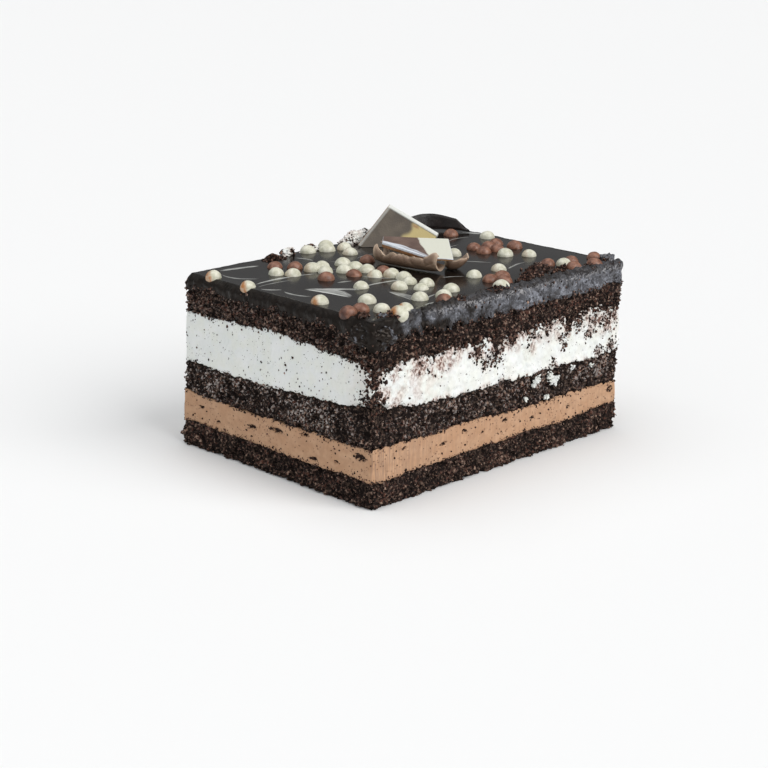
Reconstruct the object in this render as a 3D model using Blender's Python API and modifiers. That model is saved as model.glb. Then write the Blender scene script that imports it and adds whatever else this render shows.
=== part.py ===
"""A cut block of tuxedo cake, standing on its bottom sponge.

Three dark sponges and two creams are stacked flat, and a thick chocolate glaze covers the top.
Sugar pearls sit half sunk in the glaze, and five pieces of chocolate stand on it.
+X runs along the length, +Y across the width, +Z up. The origin is under the middle of the block.
"""

import math
import random

import bmesh
import bpy
from mathutils import Matrix, Vector, noise

MM = 0.001

# The block
LENGTH = 98.0 * MM
WIDTH = 74.0 * MM
CORNER_RADIUS = 1.4 * MM
BACK_LEAN = 0.09  # the back face leans in: its top is this share of half the width nearer the middle
GAP = 0.3 * MM  # between neighbouring solids

# Thickness of each layer, from the plate up
BOTTOM_SPONGE = 7.3 * MM
MOCHA_CREAM = 7.2 * MM
MIDDLE_SPONGE = 8.7 * MM
WHITE_CREAM = 13.1 * MM
TOP_SPONGE = 7.9 * MM
GLAZE = 3.8 * MM
THICKNESSES = (BOTTOM_SPONGE, MOCHA_CREAM, MIDDLE_SPONGE, WHITE_CREAM, TOP_SPONGE, GLAZE)
LEVELS = [sum(THICKNESSES[:count]) for count in range(len(THICKNESSES) + 1)]
GLAZE_TOP = LEVELS[-1]

# How finely the sides are divided
LONG_STEPS = 28
SHORT_STEPS = 21
SPONGE_ROWS = 4
CREAM_ROWS = 3
CAP_SHARE = 0.86  # the flat middle of a cap, as a share of the block's plan
GLAZE_CAP_SHARE = 0.93

# Pearls: (x, y, spread, white ones, brown ones) of each handful, in millimetres
PEARL = 4.5 * MM
PEARL_SEED = 3020
PEARL_SIDES = 7
PEARL_RINGS = 4
PEARL_SPACING = 0.93  # least distance between two centres, in pearl diameters
PEARL_MARGIN = 1.6  # least distance from a centre to the rim
HANDFULS = (
    (-46.8, 24.5, 0.0, 1, 0),
    (-46.9, 10.6, 0.0, 1, 0),
    (-31.2, 13.5, 3.2, 2, 0),
    (-26.0, 21.5, 4.4, 0, 2),
    (-7.8, 30.2, 0.0, 1, 0),
    (-0.4, 27.6, 4.0, 3, 0),
    (-0.7, 20.5, 0.0, 1, 0),
    (-19.3, 9.8, 4.8, 4, 0),
    (-12.1, 9.8, 3.0, 2, 0),
    (-26.5, 3.0, 0.0, 0, 1),
    (-13.4, 1.0, 5.0, 2, 2),
    (-11.3, -7.8, 3.0, 2, 0),
    (-26.1, -9.6, 0.0, 1, 0),
    (-15.8, -18.2, 4.6, 4, 0),
    (-8.5, -19.6, 0.0, 0, 1),
    (-11.3, -27.5, 0.0, 1, 0),
    (-21.8, -29.9, 4.6, 2, 1),
    (-35.4, -21.3, 0.0, 1, 0),
    (-37.4, -33.2, 3.8, 3, 0),
    (-44.8, -14.1, 0.0, 1, 0),
    (-45.6, -26.4, 2.8, 0, 2),
    (20.0, 0.2, 0.0, 1, 0),
    (34.6, -1.4, 6.4, 0, 7),
    (32.3, -12.0, 4.0, 2, 0),
    (44.0, 9.2, 0.0, 1, 0),
    (38.6, 18.6, 0.0, 0, 1),
    (4.8, -20.9, 0.0, 1, 0),
    (15.1, -20.6, 0.0, 1, 0),
    (5.9, -28.6, 3.2, 0, 3),
    (0.8, -34.0, 0.0, 1, 0),
    (31.4, -26.6, 2.6, 1, 1),
    (36.0, -32.0, 4.8, 0, 6),
    (45.6, -29.0, 0.0, 0, 1),
    (22.4, 29.2, 3.8, 2, 1),
)

# Lumps on the glaze: (x, y, z above the glaze, length, width, height), in millimetres
LUMPS = (
    (11.5, 33.4, 0.4, 12.0, 4.6, 5.2),
    (-6.5, 34.0, 0.2, 6.5, 3.2, 3.0),
    (-14.5, 34.2, 0.5, 4.6, 2.6, 3.6),
    (24.5, -26.5, 0.3, 6.0, 4.0, 3.4),
    (18.5, -31.0, 0.0, 5.0, 3.4, 2.8),
    (32.5, -35.0, -0.6, 5.0, 3.0, 3.2),
    (45.4, -33.8, 0.0, 3.8, 5.0, 4.6),
    (-42.0, -34.3, -0.9, 7.0, 3.6, 4.4),
    (-46.0, -29.5, -0.8, 3.4, 5.0, 4.0),
    (-34.0, -35.0, -0.7, 6.0, 2.8, 3.6),
)

# Chocolate decorations. Each is laid out in millimetres as (right, away, up) of the side it is seen
# from, with the glaze at 0, and then turned by FACING about the block's upright axis.
FACING = math.radians(-45.25)
STAND = 0.3  # a decoration's foot is this far above the glaze
PLAQUE_SIDE = 16.8
PLAQUE_THICKNESS = 1.5
PLAQUE_CENTRE = (-1.6, 25.45, 1.6)
PLAQUE_TURN = math.radians(5)  # about its upright axis
PLAQUE_LEAN = math.radians(43)
PLAQUE_ROLL = math.radians(36)  # in its own plane, so that one corner points up
SHARD_FRONT = ((-6.2, 0.9), (6.7, -8.4), (12.8, -8.1))  # (right, away) along its broken edge
SHARD_BACK = ((-5.9, 5.6), (12.0, 7.8))
SHARD_THICKNESS = 1.5
CURL_CENTRE = (0.3, -1.9)
CURL_LENGTH = 20.6
CURL_TURN = math.radians(-36)
CURL_RADIUS = 2.7
CURL_THICKNESS = 1.0
TAIL_CENTRE = (14.1, -3.0)
TAIL_LENGTH = 9.6
TAIL_RADIUS = 3.0
PETAL_CENTRE = (9.6, 44.0)
PETAL_WIDTH = 20.0
PETAL_HEIGHT = 5.4
PETAL_THICKNESS = 1.1

MATERIALS = {  # colour, roughness
    "dark_sponge": ((0.020, 0.010, 0.007), 0.85),
    "mocha_cream": ((0.46, 0.26, 0.16), 0.6),
    "white_cream": ((0.84, 0.84, 0.81), 0.5),
    "glaze": ((0.022, 0.017, 0.015), 0.2),
    "ivory_chocolate": ((0.66, 0.60, 0.44), 0.35),
    "milk_chocolate": ((0.24, 0.15, 0.10), 0.4),
    "dark_chocolate": ((0.022, 0.012, 0.010), 0.35),
}


def clear_scene():
    """Empties the scene, so that only the cake is in it."""
    for obj in list(bpy.data.objects):
        bpy.data.objects.remove(obj)


def new_collection(name):
    """Adds a collection to the scene."""
    collection = bpy.data.collections.new(name)
    bpy.context.scene.collection.children.link(collection)
    return collection


def material(name):
    """The material of that name, made when it is first needed."""
    if name in bpy.data.materials:
        return bpy.data.materials[name]
    colour, roughness = MATERIALS[name]
    made = bpy.data.materials.new(name)
    made.use_nodes = True
    shader = made.node_tree.nodes["Principled BSDF"]
    shader.inputs["Base Color"].default_value = (*colour, 1.0)
    shader.inputs["Roughness"].default_value = roughness
    return made


def add_object(name, bm, material_name, collection):
    """Turns a bmesh into an object with one material."""
    bmesh.ops.recalc_face_normals(bm, faces=bm.faces)
    mesh = bpy.data.meshes.new(name)
    bm.to_mesh(mesh)
    bm.free()
    if material_name:
        mesh.materials.append(material(material_name))
    obj = bpy.data.objects.new(name, mesh)
    collection.objects.link(obj)
    return obj


def rim_stations():
    """Points of the block's plan with their outward directions, once round from the near corner."""
    long_run, short_run = LENGTH - 2 * CORNER_RADIUS, WIDTH - 2 * CORNER_RADIUS
    centre = Vector((-long_run / 2, -short_run / 2))
    stations = []
    for side in range(4):
        run, steps = ((long_run, LONG_STEPS), (short_run, SHORT_STEPS))[side % 2]
        heading = side * math.pi / 2
        ahead = Vector((math.cos(heading), math.sin(heading)))
        outward = Vector((ahead.y, -ahead.x))
        for step in range(steps + 1):
            along = centre + ahead * run * step / steps
            stations.append((along + outward * CORNER_RADIUS, outward))
        centre = centre + ahead * run
        corner = (outward + ahead).normalized()
        stations.append((centre + corner * CORNER_RADIUS, corner))
    return stations


def near_corner(x, y, reach):
    """1 at the near corner, fading to 0 over the given reach."""
    away = math.hypot(x + LENGTH / 2, y + WIDTH / 2)
    return math.exp(-((away / reach) ** 2))


def wave(x, y, z, size):
    """Smooth noise from -1 to 1 whose bumps are about that size."""
    return noise.noise(Vector((x, y, z)) / size)


def level_height(level, x, y):
    """Height of the face between two layers at the rim. Level 0 is the plate and level 6 the glaze's top."""
    height = LEVELS[level]
    if level in (0, 6):
        return height
    height += 0.75 * MM * wave(x, y, level * 0.1, 17 * MM)
    if level == 3:  # the near corner of the middle sponge was pushed up
        height += 1.9 * MM * near_corner(x, y, 17 * MM)
    if level == 4:  # and the top sponge hangs there
        height -= 1.0 * MM * near_corner(x, y, 16 * MM)
    if level == 5:  # the glaze runs lower at the near corner and along the front
        height -= 3.4 * MM * near_corner(x, y, 7 * MM)
        front = min(1.0, max(0.0, (0.0 - y) / (WIDTH / 2)))
        height -= 1.4 * MM * front**4 * (1 - near_corner(x, y, 10 * MM))
    return height


def sponge_crag(x, y, z, share):
    """How far a sponge's torn side stands out: coarse lumps and a crumbly grain."""
    lumps = 0.55 * wave(x, y, z, 9 * MM)
    grain = 0.75 * wave(x + 1, y, z, 2.7 * MM)
    eased = -0.45 * (2 * share - 1) ** 6
    return (lumps + grain + eased) * MM


def cream_crag(x, y, z, share):
    """How far a cream's smooth side stands out: it is drawn in a little between the sponges."""
    return (-0.35 + 0.45 * wave(x, y, z, 11 * MM)) * MM


def glaze_crag(x, y, z, share):
    """How far the glaze's side stands out: it rolls over at the top, and is rougher along the front."""
    front = min(1.0, max(0.0, -y / (WIDTH / 2))) ** 6
    rough = (0.25 + 0.7 * front) * wave(x, y, z, 3.2 * MM)
    rolled = -1.5 * max(0.0, share - 0.45) ** 2 / 0.3
    corner = (0.4 + 0.5 * wave(x, y, z, 2.6 * MM)) * near_corner(x, y, 8 * MM)
    return (0.4 + rough + rolled + corner) * MM


def lean_back(point):
    """Draws the back of the block in towards its top."""
    if point.y > 0:
        point.y *= 1 - BACK_LEAN * point.z / GLAZE_TOP


def layer(name, material_name, level, rows, crag, collection, cap_share=CAP_SHARE):
    """One layer of the block: a grid wrapped round the plan, capped, with its side and its rims made uneven."""
    stations = rim_stations()
    bm = bmesh.new()
    bmesh.ops.create_grid(bm, x_segments=len(stations), y_segments=rows, size=1.0)
    lower_gap = 0.0 if level == 0 else GAP / 2
    upper_gap = 0.0 if level == 5 else GAP / 2
    for vert in bm.verts:
        around, share = (vert.co.x + 1) / 2, (vert.co.y + 1) / 2
        rim, outward = stations[round(around * len(stations)) % len(stations)]
        low = level_height(level, *rim) + lower_gap
        high = level_height(level + 1, *rim) - upper_gap
        z = low + (high - low) * share
        out = crag(*rim, z, share)
        vert.co = (*(rim + outward * out), z)
    bmesh.ops.remove_doubles(bm, verts=bm.verts, dist=0.01 * MM)
    open_edges = [edge for edge in bm.edges if edge.is_boundary]
    bmesh.ops.holes_fill(bm, edges=open_edges, sides=0)
    caps = [face for face in bm.faces if len(face.verts) > 4]
    bmesh.ops.inset_individual(bm, faces=caps, thickness=0.05 * MM)
    for cap in caps:
        top = cap.calc_center_median().z > (LEVELS[level] + LEVELS[level + 1]) / 2
        height = LEVELS[level + 1] - upper_gap if top else LEVELS[level] + lower_gap
        share = cap_share if top else CAP_SHARE
        for vert in cap.verts:
            vert.co = (vert.co.x * share, vert.co.y * share, height)
    for vert in bm.verts:
        lean_back(vert.co)
    return add_object(name, bm, material_name, collection)


def to_block(right, away):
    """The place on the block of a point given in the decorations' own directions, all in millimetres."""
    ahead, aside = math.cos(FACING), math.sin(FACING)
    return right * ahead - away * aside, right * aside + away * ahead


def decoration_zones():
    """Circles of the glaze that the decorations cover, as (x, y, radius)."""
    zones = [(-12.0 + 5.5 * step, 24.6 + 1.2 * step, 4.7) for step in range(5)]
    zones += [(-6.6 + 3.8 * step, 3.4 - 2.7 * step, 6.4) for step in range(5)]
    zones += [(13.5, -5.2, 6.0), (13.5, 0.6, 6.0), (7.0, 2.5, 5.5)]
    zones += [(0.5 + 4.4 * step, 46.0, 3.8) for step in range(5)]
    return [(*to_block(right, away), reach) for right, away, reach in zones]


def scatter_pearls():
    """(x, y, height above the glaze, diameter) of each pearl: every handful is thrown round its own middle."""
    draw = random.Random(PEARL_SEED)
    zones = decoration_zones()
    end, front = LENGTH / 2 - PEARL_MARGIN * MM, PEARL_MARGIN * MM - WIDTH / 2
    back = WIDTH / 2 * (1 - BACK_LEAN) - PEARL_MARGIN * MM
    placed = []
    for x, y, spread, white, brown in HANDFULS:
        for _ in range(white + brown):
            for _ in range(40):
                turn = draw.uniform(0, 2 * math.pi)
                throw = spread * math.sqrt(draw.random())
                px = (x + throw * math.cos(turn)) * MM
                py = (y + throw * math.sin(turn)) * MM
                size = PEARL * draw.uniform(0.92, 1.06)
                inside = abs(px) < end and front < py < back
                apart = all(math.hypot(px - q[0], py - q[1]) > PEARL_SPACING * PEARL for q in placed)
                clear = all(math.hypot(px - zx * MM, py - zy * MM) > r * MM for zx, zy, r in zones)
                if inside and apart and clear:
                    placed.append((px, py, draw.uniform(-0.05, 0.3) * PEARL / 2, size))
                    break
    return placed


def add_pearls(collection):
    """The pearls as low-sided balls, each turned a little differently."""
    draw = random.Random(PEARL_SEED + 1)
    for number, (x, y, rise, size) in enumerate(scatter_pearls()):
        bm = bmesh.new()
        bmesh.ops.create_uvsphere(bm, u_segments=PEARL_SIDES, v_segments=PEARL_RINGS, radius=size / 2)
        turn = Matrix.Rotation(draw.uniform(0, math.pi), 4, "Z")
        bmesh.ops.transform(bm, matrix=Matrix.Translation((x, y, GLAZE_TOP + rise)) @ turn, verts=bm.verts)
        add_object(f"pearl_{number}", bm, None, collection)


def add_lumps(collection):
    """Crumbs and folds of glaze that stand on its rim or hang from it, as uneven balls."""
    for number, (x, y, rise, length, width, height) in enumerate(LUMPS):
        bm = bmesh.new()
        bmesh.ops.create_icosphere(bm, subdivisions=2, radius=0.5)
        for vert in bm.verts:
            vert.co *= 1 + 0.3 * noise.noise(vert.co * 3 + Vector((number, 0, 0)))
            vert.co = Vector((vert.co.x * length, vert.co.y * width, vert.co.z * height)) * MM
            vert.co += Vector((x * MM, y * MM, GLAZE_TOP + rise * MM))
            lean_back(vert.co)
        add_object(f"lump_{number}", bm, None, collection)


def join_to(obj, pieces):
    """Joins a collection of solids to an object for good, and removes them."""
    union = obj.modifiers.new("join", "BOOLEAN")
    union.operation = "UNION"
    union.operand_type = "COLLECTION"
    union.collection = pieces
    union.solver = "EXACT"
    union.use_self = False
    bpy.context.view_layer.update()
    graph = bpy.context.evaluated_depsgraph_get()
    joined = bpy.data.meshes.new_from_object(obj.evaluated_get(graph))
    obj.modifiers.remove(union)
    obj.data = joined
    for piece in list(pieces.objects):
        bpy.data.objects.remove(piece)
    bpy.data.collections.remove(pieces)


def set_on_glaze(obj):
    """Turns a decoration from its own directions to the block's, and lifts it to the glaze."""
    obj.data.transform(Matrix.Scale(MM, 4))
    obj.rotation_euler = (0.0, 0.0, FACING)
    obj.location = (0.0, 0.0, GLAZE_TOP)


def add_plaque(collection):
    """A square ivory plaque, one corner up, leaning back, cut flat where it is set in the glaze."""
    bm = bmesh.new()
    bmesh.ops.create_cube(bm, size=1.0)
    pose = (
        Matrix.Translation(PLAQUE_CENTRE)
        @ Matrix.Rotation(PLAQUE_TURN, 4, "Z")
        @ Matrix.Rotation(-PLAQUE_LEAN, 4, "X")
        @ Matrix.Rotation(PLAQUE_ROLL, 4, "Y")
        @ Matrix.Diagonal((PLAQUE_SIDE, PLAQUE_THICKNESS, PLAQUE_SIDE, 1.0))
    )
    bmesh.ops.transform(bm, matrix=pose, verts=bm.verts)
    foot = Vector((0.0, 0.0, STAND))
    whole = bm.verts[:] + bm.edges[:] + bm.faces[:]
    cut = bmesh.ops.bisect_plane(bm, geom=whole, plane_co=foot, plane_no=(0, 0, 1), clear_inner=True)
    rim = [piece for piece in cut["geom_cut"] if isinstance(piece, bmesh.types.BMEdge)]
    bmesh.ops.holes_fill(bm, edges=rim, sides=0)
    upper = [edge for edge in bm.edges if edge not in rim]
    bmesh.ops.bevel(bm, geom=upper, offset=0.35, segments=2, profile=0.5, affect="EDGES")
    set_on_glaze(add_object("chocolate_plaque", bm, "ivory_chocolate", collection))


def add_sheet(name, material_name, columns, rows, shape, thickness, collection):
    """A thin bent sheet: a grid laid out by shape(along, across), both from 0 to 1, then made solid."""
    bm = bmesh.new()
    bmesh.ops.create_grid(bm, x_segments=columns, y_segments=rows, size=1.0)
    for vert in bm.verts:
        vert.co = shape((vert.co.x + 1) / 2, (vert.co.y + 1) / 2)
    sheet = add_object(name, bm, material_name, collection)
    set_on_glaze(sheet)
    solid = sheet.modifiers.new("thickness", "SOLIDIFY")
    solid.thickness = thickness * MM
    solid.offset = 0.0


def blend(start, end, share):
    """The value that share of the way from start to end."""
    return start + (end - start) * share


def step_up(value, low, high):
    """0 below low, 1 above high, and a smooth rise between."""
    share = min(1.0, max(0.0, (value - low) / (high - low)))
    return share * share * (3 - 2 * share)


def curl_shape(along, across):
    """The rolled shaving: a trough that closes to a ring at its left end and has a high lip at the right."""
    left_end, right_end = 1 - step_up(along, 0.0, 0.1), step_up(along, 0.68, 1.0)
    front = 6 + 24 * (1 - along) ** 2 + 40 * left_end + 50 * right_end
    back = -14 + 84 * left_end - 22 * right_end
    turn = math.radians(blend(180 - front, 360 + back, across))
    radius = CURL_RADIUS * (1 - 0.06 * math.cos(2 * math.pi * along))
    ragged = 0.4 * noise.noise(Vector((across * 3, along * 2, 0.3))) * (2 * along - 1)
    x = (along - 0.5) * CURL_LENGTH + ragged
    y = radius * math.cos(turn) - 0.7 * math.sin(math.pi * along)
    z = STAND + CURL_THICKNESS / 2 + radius * (1 + math.sin(turn))
    return Matrix.Rotation(CURL_TURN, 3, "Z") @ Vector((x, y, z)) + Vector((*CURL_CENTRE, 0.0))


def tail_shape(along, across):
    """The smaller shaving beside it: half a pipe whose right side stands up and folds outward."""
    turn = math.radians(blend(235, 345, across))
    fold = step_up(across, 0.6, 1.0)
    right = TAIL_CENTRE[0] + TAIL_RADIUS * math.cos(turn) + 1.1 * fold
    up = STAND + CURL_THICKNESS / 2 + TAIL_RADIUS * (1 + math.sin(turn)) + 0.6 * fold
    away = TAIL_CENTRE[1] + (along - 0.5) * TAIL_LENGTH * (1 - 0.35 * fold) + 0.8 * fold
    return Vector((right, away, up))


def shard_shape(along, across):
    """The marbled shard: a flat piece broken to five unequal sides, tilted down towards the front."""
    corner = 0.7
    if along < corner:
        front = Vector(SHARD_FRONT[0]).lerp(Vector(SHARD_FRONT[1]), along / corner)
    else:
        front = Vector(SHARD_FRONT[1]).lerp(Vector(SHARD_FRONT[2]), (along - corner) / (1 - corner))
    back = Vector(SHARD_BACK[0]).lerp(Vector(SHARD_BACK[1]), along)
    right, away = front.lerp(back, across)
    top = 6.0 + 0.126 * (away - 7.8) - 0.069 * (right - 12.0)
    return Vector((right, away, top - SHARD_THICKNESS / 2))


def petal_shape(along, across):
    """The dark petal: a low upright leaf, bowed in plan, with a rounded back and a straight right end."""
    crown = math.sin(math.pi * min(1.0, 0.1 + 0.86 * along)) ** 0.5
    right = PETAL_CENTRE[0] + (along - 0.5) * PETAL_WIDTH - 1.2 * across * (2 * along - 1)
    away = PETAL_CENTRE[1] + 2.4 * math.sin(math.pi * along) + 1.6 * across
    return Vector((right, away, STAND + 0.3 + across * crown * PETAL_HEIGHT))


def add_decorations(collection):
    """The plaque, the two shavings, the shard that lies on them and the petal behind."""
    milk = "milk_chocolate"
    add_plaque(collection)
    add_sheet("milk_curl", milk, 16, 9, curl_shape, CURL_THICKNESS, collection)
    add_sheet("milk_curl_tail", milk, 5, 8, tail_shape, CURL_THICKNESS, collection)
    add_sheet("marbled_shard", milk, 10, 2, shard_shape, SHARD_THICKNESS, collection)
    add_sheet("dark_petal", "dark_chocolate", 12, 3, petal_shape, PETAL_THICKNESS, collection)


def build():
    """Builds the whole cake."""
    clear_scene()
    cake = new_collection("tuxedo_cake")
    layer("bottom_sponge", "dark_sponge", 0, SPONGE_ROWS, sponge_crag, cake)
    layer("mocha_cream", "mocha_cream", 1, CREAM_ROWS, cream_crag, cake)
    layer("middle_sponge", "dark_sponge", 2, SPONGE_ROWS, sponge_crag, cake)
    layer("white_cream", "white_cream", 3, CREAM_ROWS, cream_crag, cake)
    layer("top_sponge", "dark_sponge", 4, SPONGE_ROWS, sponge_crag, cake)
    glaze = layer("glaze", "glaze", 5, SPONGE_ROWS, glaze_crag, cake, GLAZE_CAP_SHARE)
    toppings = new_collection("toppings")
    add_pearls(toppings)
    add_lumps(toppings)
    join_to(glaze, toppings)
    add_decorations(cake)


build()
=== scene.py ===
# %% [markdown]
# # A cut block of tuxedo cake
# The real cake is three dark sponges with a mocha cream and a white cream between them, under a
# chocolate glaze with sugar pearls and five pieces of chocolate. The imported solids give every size.
# Here each solid gets a finer skin that is torn, smeared or polished as the real one is, and the loose
# things that a knife leaves behind: crumbs, specks and threads of white chocolate.

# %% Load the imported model
import math
import random

import bmesh
import bpy
import numpy as np
from mathutils import Matrix, Vector, noise


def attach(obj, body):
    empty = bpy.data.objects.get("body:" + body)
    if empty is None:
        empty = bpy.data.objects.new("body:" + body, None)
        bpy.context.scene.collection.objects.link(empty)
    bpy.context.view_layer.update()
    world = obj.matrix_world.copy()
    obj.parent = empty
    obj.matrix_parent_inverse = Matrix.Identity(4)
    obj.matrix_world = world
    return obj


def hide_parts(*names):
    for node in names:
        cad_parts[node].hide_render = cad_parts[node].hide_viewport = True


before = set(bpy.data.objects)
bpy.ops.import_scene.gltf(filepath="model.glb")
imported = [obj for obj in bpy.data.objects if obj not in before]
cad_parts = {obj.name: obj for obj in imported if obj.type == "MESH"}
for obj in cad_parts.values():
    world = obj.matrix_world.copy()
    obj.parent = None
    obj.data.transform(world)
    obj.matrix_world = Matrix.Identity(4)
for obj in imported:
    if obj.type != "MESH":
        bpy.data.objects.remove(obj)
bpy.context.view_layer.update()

MM = 0.001

# %% [markdown]
# ## Camera
# A cake is usually seen from a corner and a little above, so that two cut sides and the top show. A long
# lens keeps the upright edges nearly parallel. The camera could track an empty object, but three
# fixed angles say the same in one line.

# %% The camera
FILM_WIDTH, FOCAL_LENGTH = 36.0, 82.69
CAMERA_PLACE = (-336.53, -323.84, 155.84)
CAMERA_ANGLES = (73.16, -0.70, -45.25)

lens = bpy.data.cameras.new("corner_view")
lens.sensor_width = FILM_WIDTH
lens.lens = FOCAL_LENGTH
camera = bpy.data.objects.new("corner_view", lens)
camera.location = [value * MM for value in CAMERA_PLACE]
camera.rotation_euler = [math.radians(angle) for angle in CAMERA_ANGLES]
bpy.context.scene.collection.objects.link(camera)
bpy.context.scene.camera = camera
bpy.context.scene.view_settings.view_transform = "Standard"
print("camera at", [round(value, 3) for value in camera.location])

# %% [markdown]
# ## Studio
# Food on white is lit by a large window to one side, with white boards all round. A sun lamp with a wide
# angle is a window that lights the whole floor evenly, which an area lamp near the cake wouldn't do.
# The room itself stays rather dim, because the glaze is a dark mirror: what it shows is the room.

# %% Window light and room
def add_sun(name, towards, strength, spread, colour=(1.0, 1.0, 1.0)):
    """A soft sun that shines from the given direction."""
    lamp = bpy.data.lights.new(name, "SUN")
    lamp.energy = strength
    lamp.angle = math.radians(spread)
    lamp.color = colour
    sun = bpy.data.objects.new(name, lamp)
    sun.rotation_euler = Vector(towards).to_track_quat("Z", "Y").to_euler()
    bpy.context.scene.collection.objects.link(sun)


add_sun("window", (0.15, -0.75, 0.62), 2.3, 50, (1.0, 0.99, 0.98))
add_sun("ceiling", (-0.1, 0.2, 1.0), 1.2, 70)
add_sun("white_board", (-0.85, 0.15, 0.5), 0.35, 60, (0.95, 0.98, 1.0))

room = bpy.data.worlds.new("room")
bpy.context.scene.world = room
room.use_nodes = True
ROOM_DIM = 0.25
ROOM_SEEN = 0.9
backdrop = room.node_tree.nodes["Background"]
backdrop.inputs["Color"].default_value = (0.95, 0.98, 1.0, 1.0)
seen = room.node_tree.nodes.new("ShaderNodeLightPath").outputs["Is Camera Ray"]
brightness = room.node_tree.nodes.new("ShaderNodeMapRange")
brightness.inputs["To Min"].default_value = ROOM_DIM
brightness.inputs["To Max"].default_value = ROOM_SEEN
room.node_tree.links.new(seen, brightness.inputs["Value"])
room.node_tree.links.new(brightness.outputs[0], backdrop.inputs["Strength"])
print("three suns and a room of", ROOM_DIM, "brightness")

# %% [markdown]
# ## Floor
# The cake stands on matt white paper, so that its shadow shows where it stands. A sheet that curves up
# behind it would hide the horizon too, but a large flat square in a white room does that as well.

# %% The paper under the cake
FLOOR_SIZE = 14.0
FLOOR_GAP = 0.1 * MM  # keeps the paper from touching the cake's own base, which would flicker
corner = FLOOR_SIZE / 2
floor_corners = [(x * corner, y * corner, 0.0) for x, y in ((-1, -1), (1, -1), (1, 1), (-1, 1))]
floor_mesh = bpy.data.meshes.new("floor")
floor_mesh.from_pydata(floor_corners, [], [(0, 1, 2, 3)])
floor = bpy.data.objects.new("floor", floor_mesh)
floor.location.z = -FLOOR_GAP
bpy.context.scene.collection.objects.link(floor)
paper = bpy.data.materials.new("white_paper")
paper.use_nodes = True
paper_shader = paper.node_tree.nodes["Principled BSDF"]
paper_shader.inputs["Base Color"].default_value = (0.88, 0.88, 0.88, 1.0)
paper_shader.inputs["Roughness"].default_value = 0.7
floor_mesh.materials.append(paper)
print("paper", FLOOR_SIZE, "m wide")

# %% [markdown]
# ## Shader helpers
# Every finish below is made of the same few nodes: noise, spots, a change of range and a mix of two
# colours. They could be laid out by hand in the shader editor, but a short function for each keeps the
# materials readable.

# %% Node helpers
def node(tree, kind, inputs=None, **settings):
    """Adds a shader node. inputs gives its sockets by name or number: a value, or a socket to link."""
    made = tree.nodes.new(kind)
    for name, value in settings.items():
        setattr(made, name, value)
    for socket, value in (inputs or {}).items():
        if isinstance(value, bpy.types.NodeSocket):
            tree.links.new(value, made.inputs[socket])
        else:
            made.inputs[socket].default_value = value
    return made


def maths(tree, operation, first, second=0.0):
    """One sum of two numbers or sockets."""
    return node(tree, "ShaderNodeMath", {0: first, 1: second}, operation=operation).outputs[0]


def times(tree, first, *others):
    """The product of all the numbers or sockets given."""
    for other in others:
        first = maths(tree, "MULTIPLY", first, other)
    return first


def plus(tree, first, *others):
    """The sum of all the numbers or sockets given."""
    for other in others:
        first = maths(tree, "ADD", first, other)
    return first


# %% Masks, mixes and painted values
def rise(tree, value, low, high, bottom=0.0, top=1.0):
    """A smooth step: bottom where value is under low, top where it is over high."""
    inputs = {"Value": value, "From Min": low, "From Max": high, "To Min": bottom, "To Max": top}
    return node(tree, "ShaderNodeMapRange", inputs, interpolation_type="SMOOTHSTEP").outputs[0]


def mix(tree, share, first, second):
    """A blend of two colours."""
    first = (*first, 1.0) if isinstance(first, tuple) else first
    second = (*second, 1.0) if isinstance(second, tuple) else second
    return node(tree, "ShaderNodeMix", {0: share, 6: first, 7: second}, data_type="RGBA").outputs[2]


def painted(tree, name):
    """A value painted on the mesh's points."""
    return node(tree, "ShaderNodeAttribute", attribute_name=name).outputs["Fac"]


# %% [markdown]
# ## Shared effects
# Grain and spots turn up in almost every finish, as crumb, fluff, bloom, pores or specks. Each could be
# built again in every material. A node group with named sockets is built once and placed with its own
# values, and a change to it then reaches all of them.

# %% Node group helpers
def new_group(name, inputs, outputs):
    """An empty shader node group with number sockets, its entry and its exit."""
    group = bpy.data.node_groups.new(name, "ShaderNodeTree")
    for label, value in inputs.items():
        socket = group.interface.new_socket(label, in_out="INPUT", socket_type="NodeSocketFloat")
        socket.default_value = value
    for label in outputs:
        group.interface.new_socket(label, in_out="OUTPUT", socket_type="NodeSocketFloat")
    return group, group.nodes.new("NodeGroupInput").outputs, group.nodes.new("NodeGroupOutput")


def use_group(tree, group, **inputs):
    """Places a group in a material and gives back its outputs."""
    made = tree.nodes.new("ShaderNodeGroup")
    made.node_tree = group
    for label, value in inputs.items():
        made.inputs[label].default_value = value
    return made.outputs


def object_places(group, entry, size):
    """The object's own places, squeezed upwards by Flatten, and the texture scale for the size named."""
    where = node(group, "ShaderNodeTexCoord").outputs["Object"]
    upright = node(group, "ShaderNodeCombineXYZ", {0: 1.0, 1: 1.0, 2: entry["Flatten"]}).outputs[0]
    squeezed = node(group, "ShaderNodeVectorMath", {0: where, 1: upright}, operation="MULTIPLY").outputs[0]
    return squeezed, maths(group, "DIVIDE", 1 / MM, entry[size])


# %% [markdown]
# ## Grain
# Grain is what the eye reads as crumb or fluff: light and dark patches of about one size. Noise gives it.
# The group can squeeze it, for patches that lie flat or stand upright, and harden the patches' edges.

# %% The grain group
grain_group, grain_in, grain_out = new_group(
    "grain", {"Size": 1.0, "Flatten": 1.0, "Contrast": 0.5}, ["Mask", "Height"]
)
places, per_metre = object_places(grain_group, grain_in, "Size")
cloud = node(grain_group, "ShaderNodeTexNoise", {"Vector": places, "Scale": per_metre, "Detail": 3.0})
half_width = times(grain_group, maths(grain_group, "SUBTRACT", 1.0, grain_in["Contrast"]), 0.3)
low_end, high_end = maths(grain_group, "SUBTRACT", 0.5, half_width), plus(grain_group, 0.5, half_width)
grain_mask = rise(grain_group, cloud.outputs[0], low_end, high_end)
grain_group.links.new(grain_mask, grain_out.inputs["Mask"])
grain_group.links.new(cloud.outputs[0], grain_out.inputs["Height"])


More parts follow.
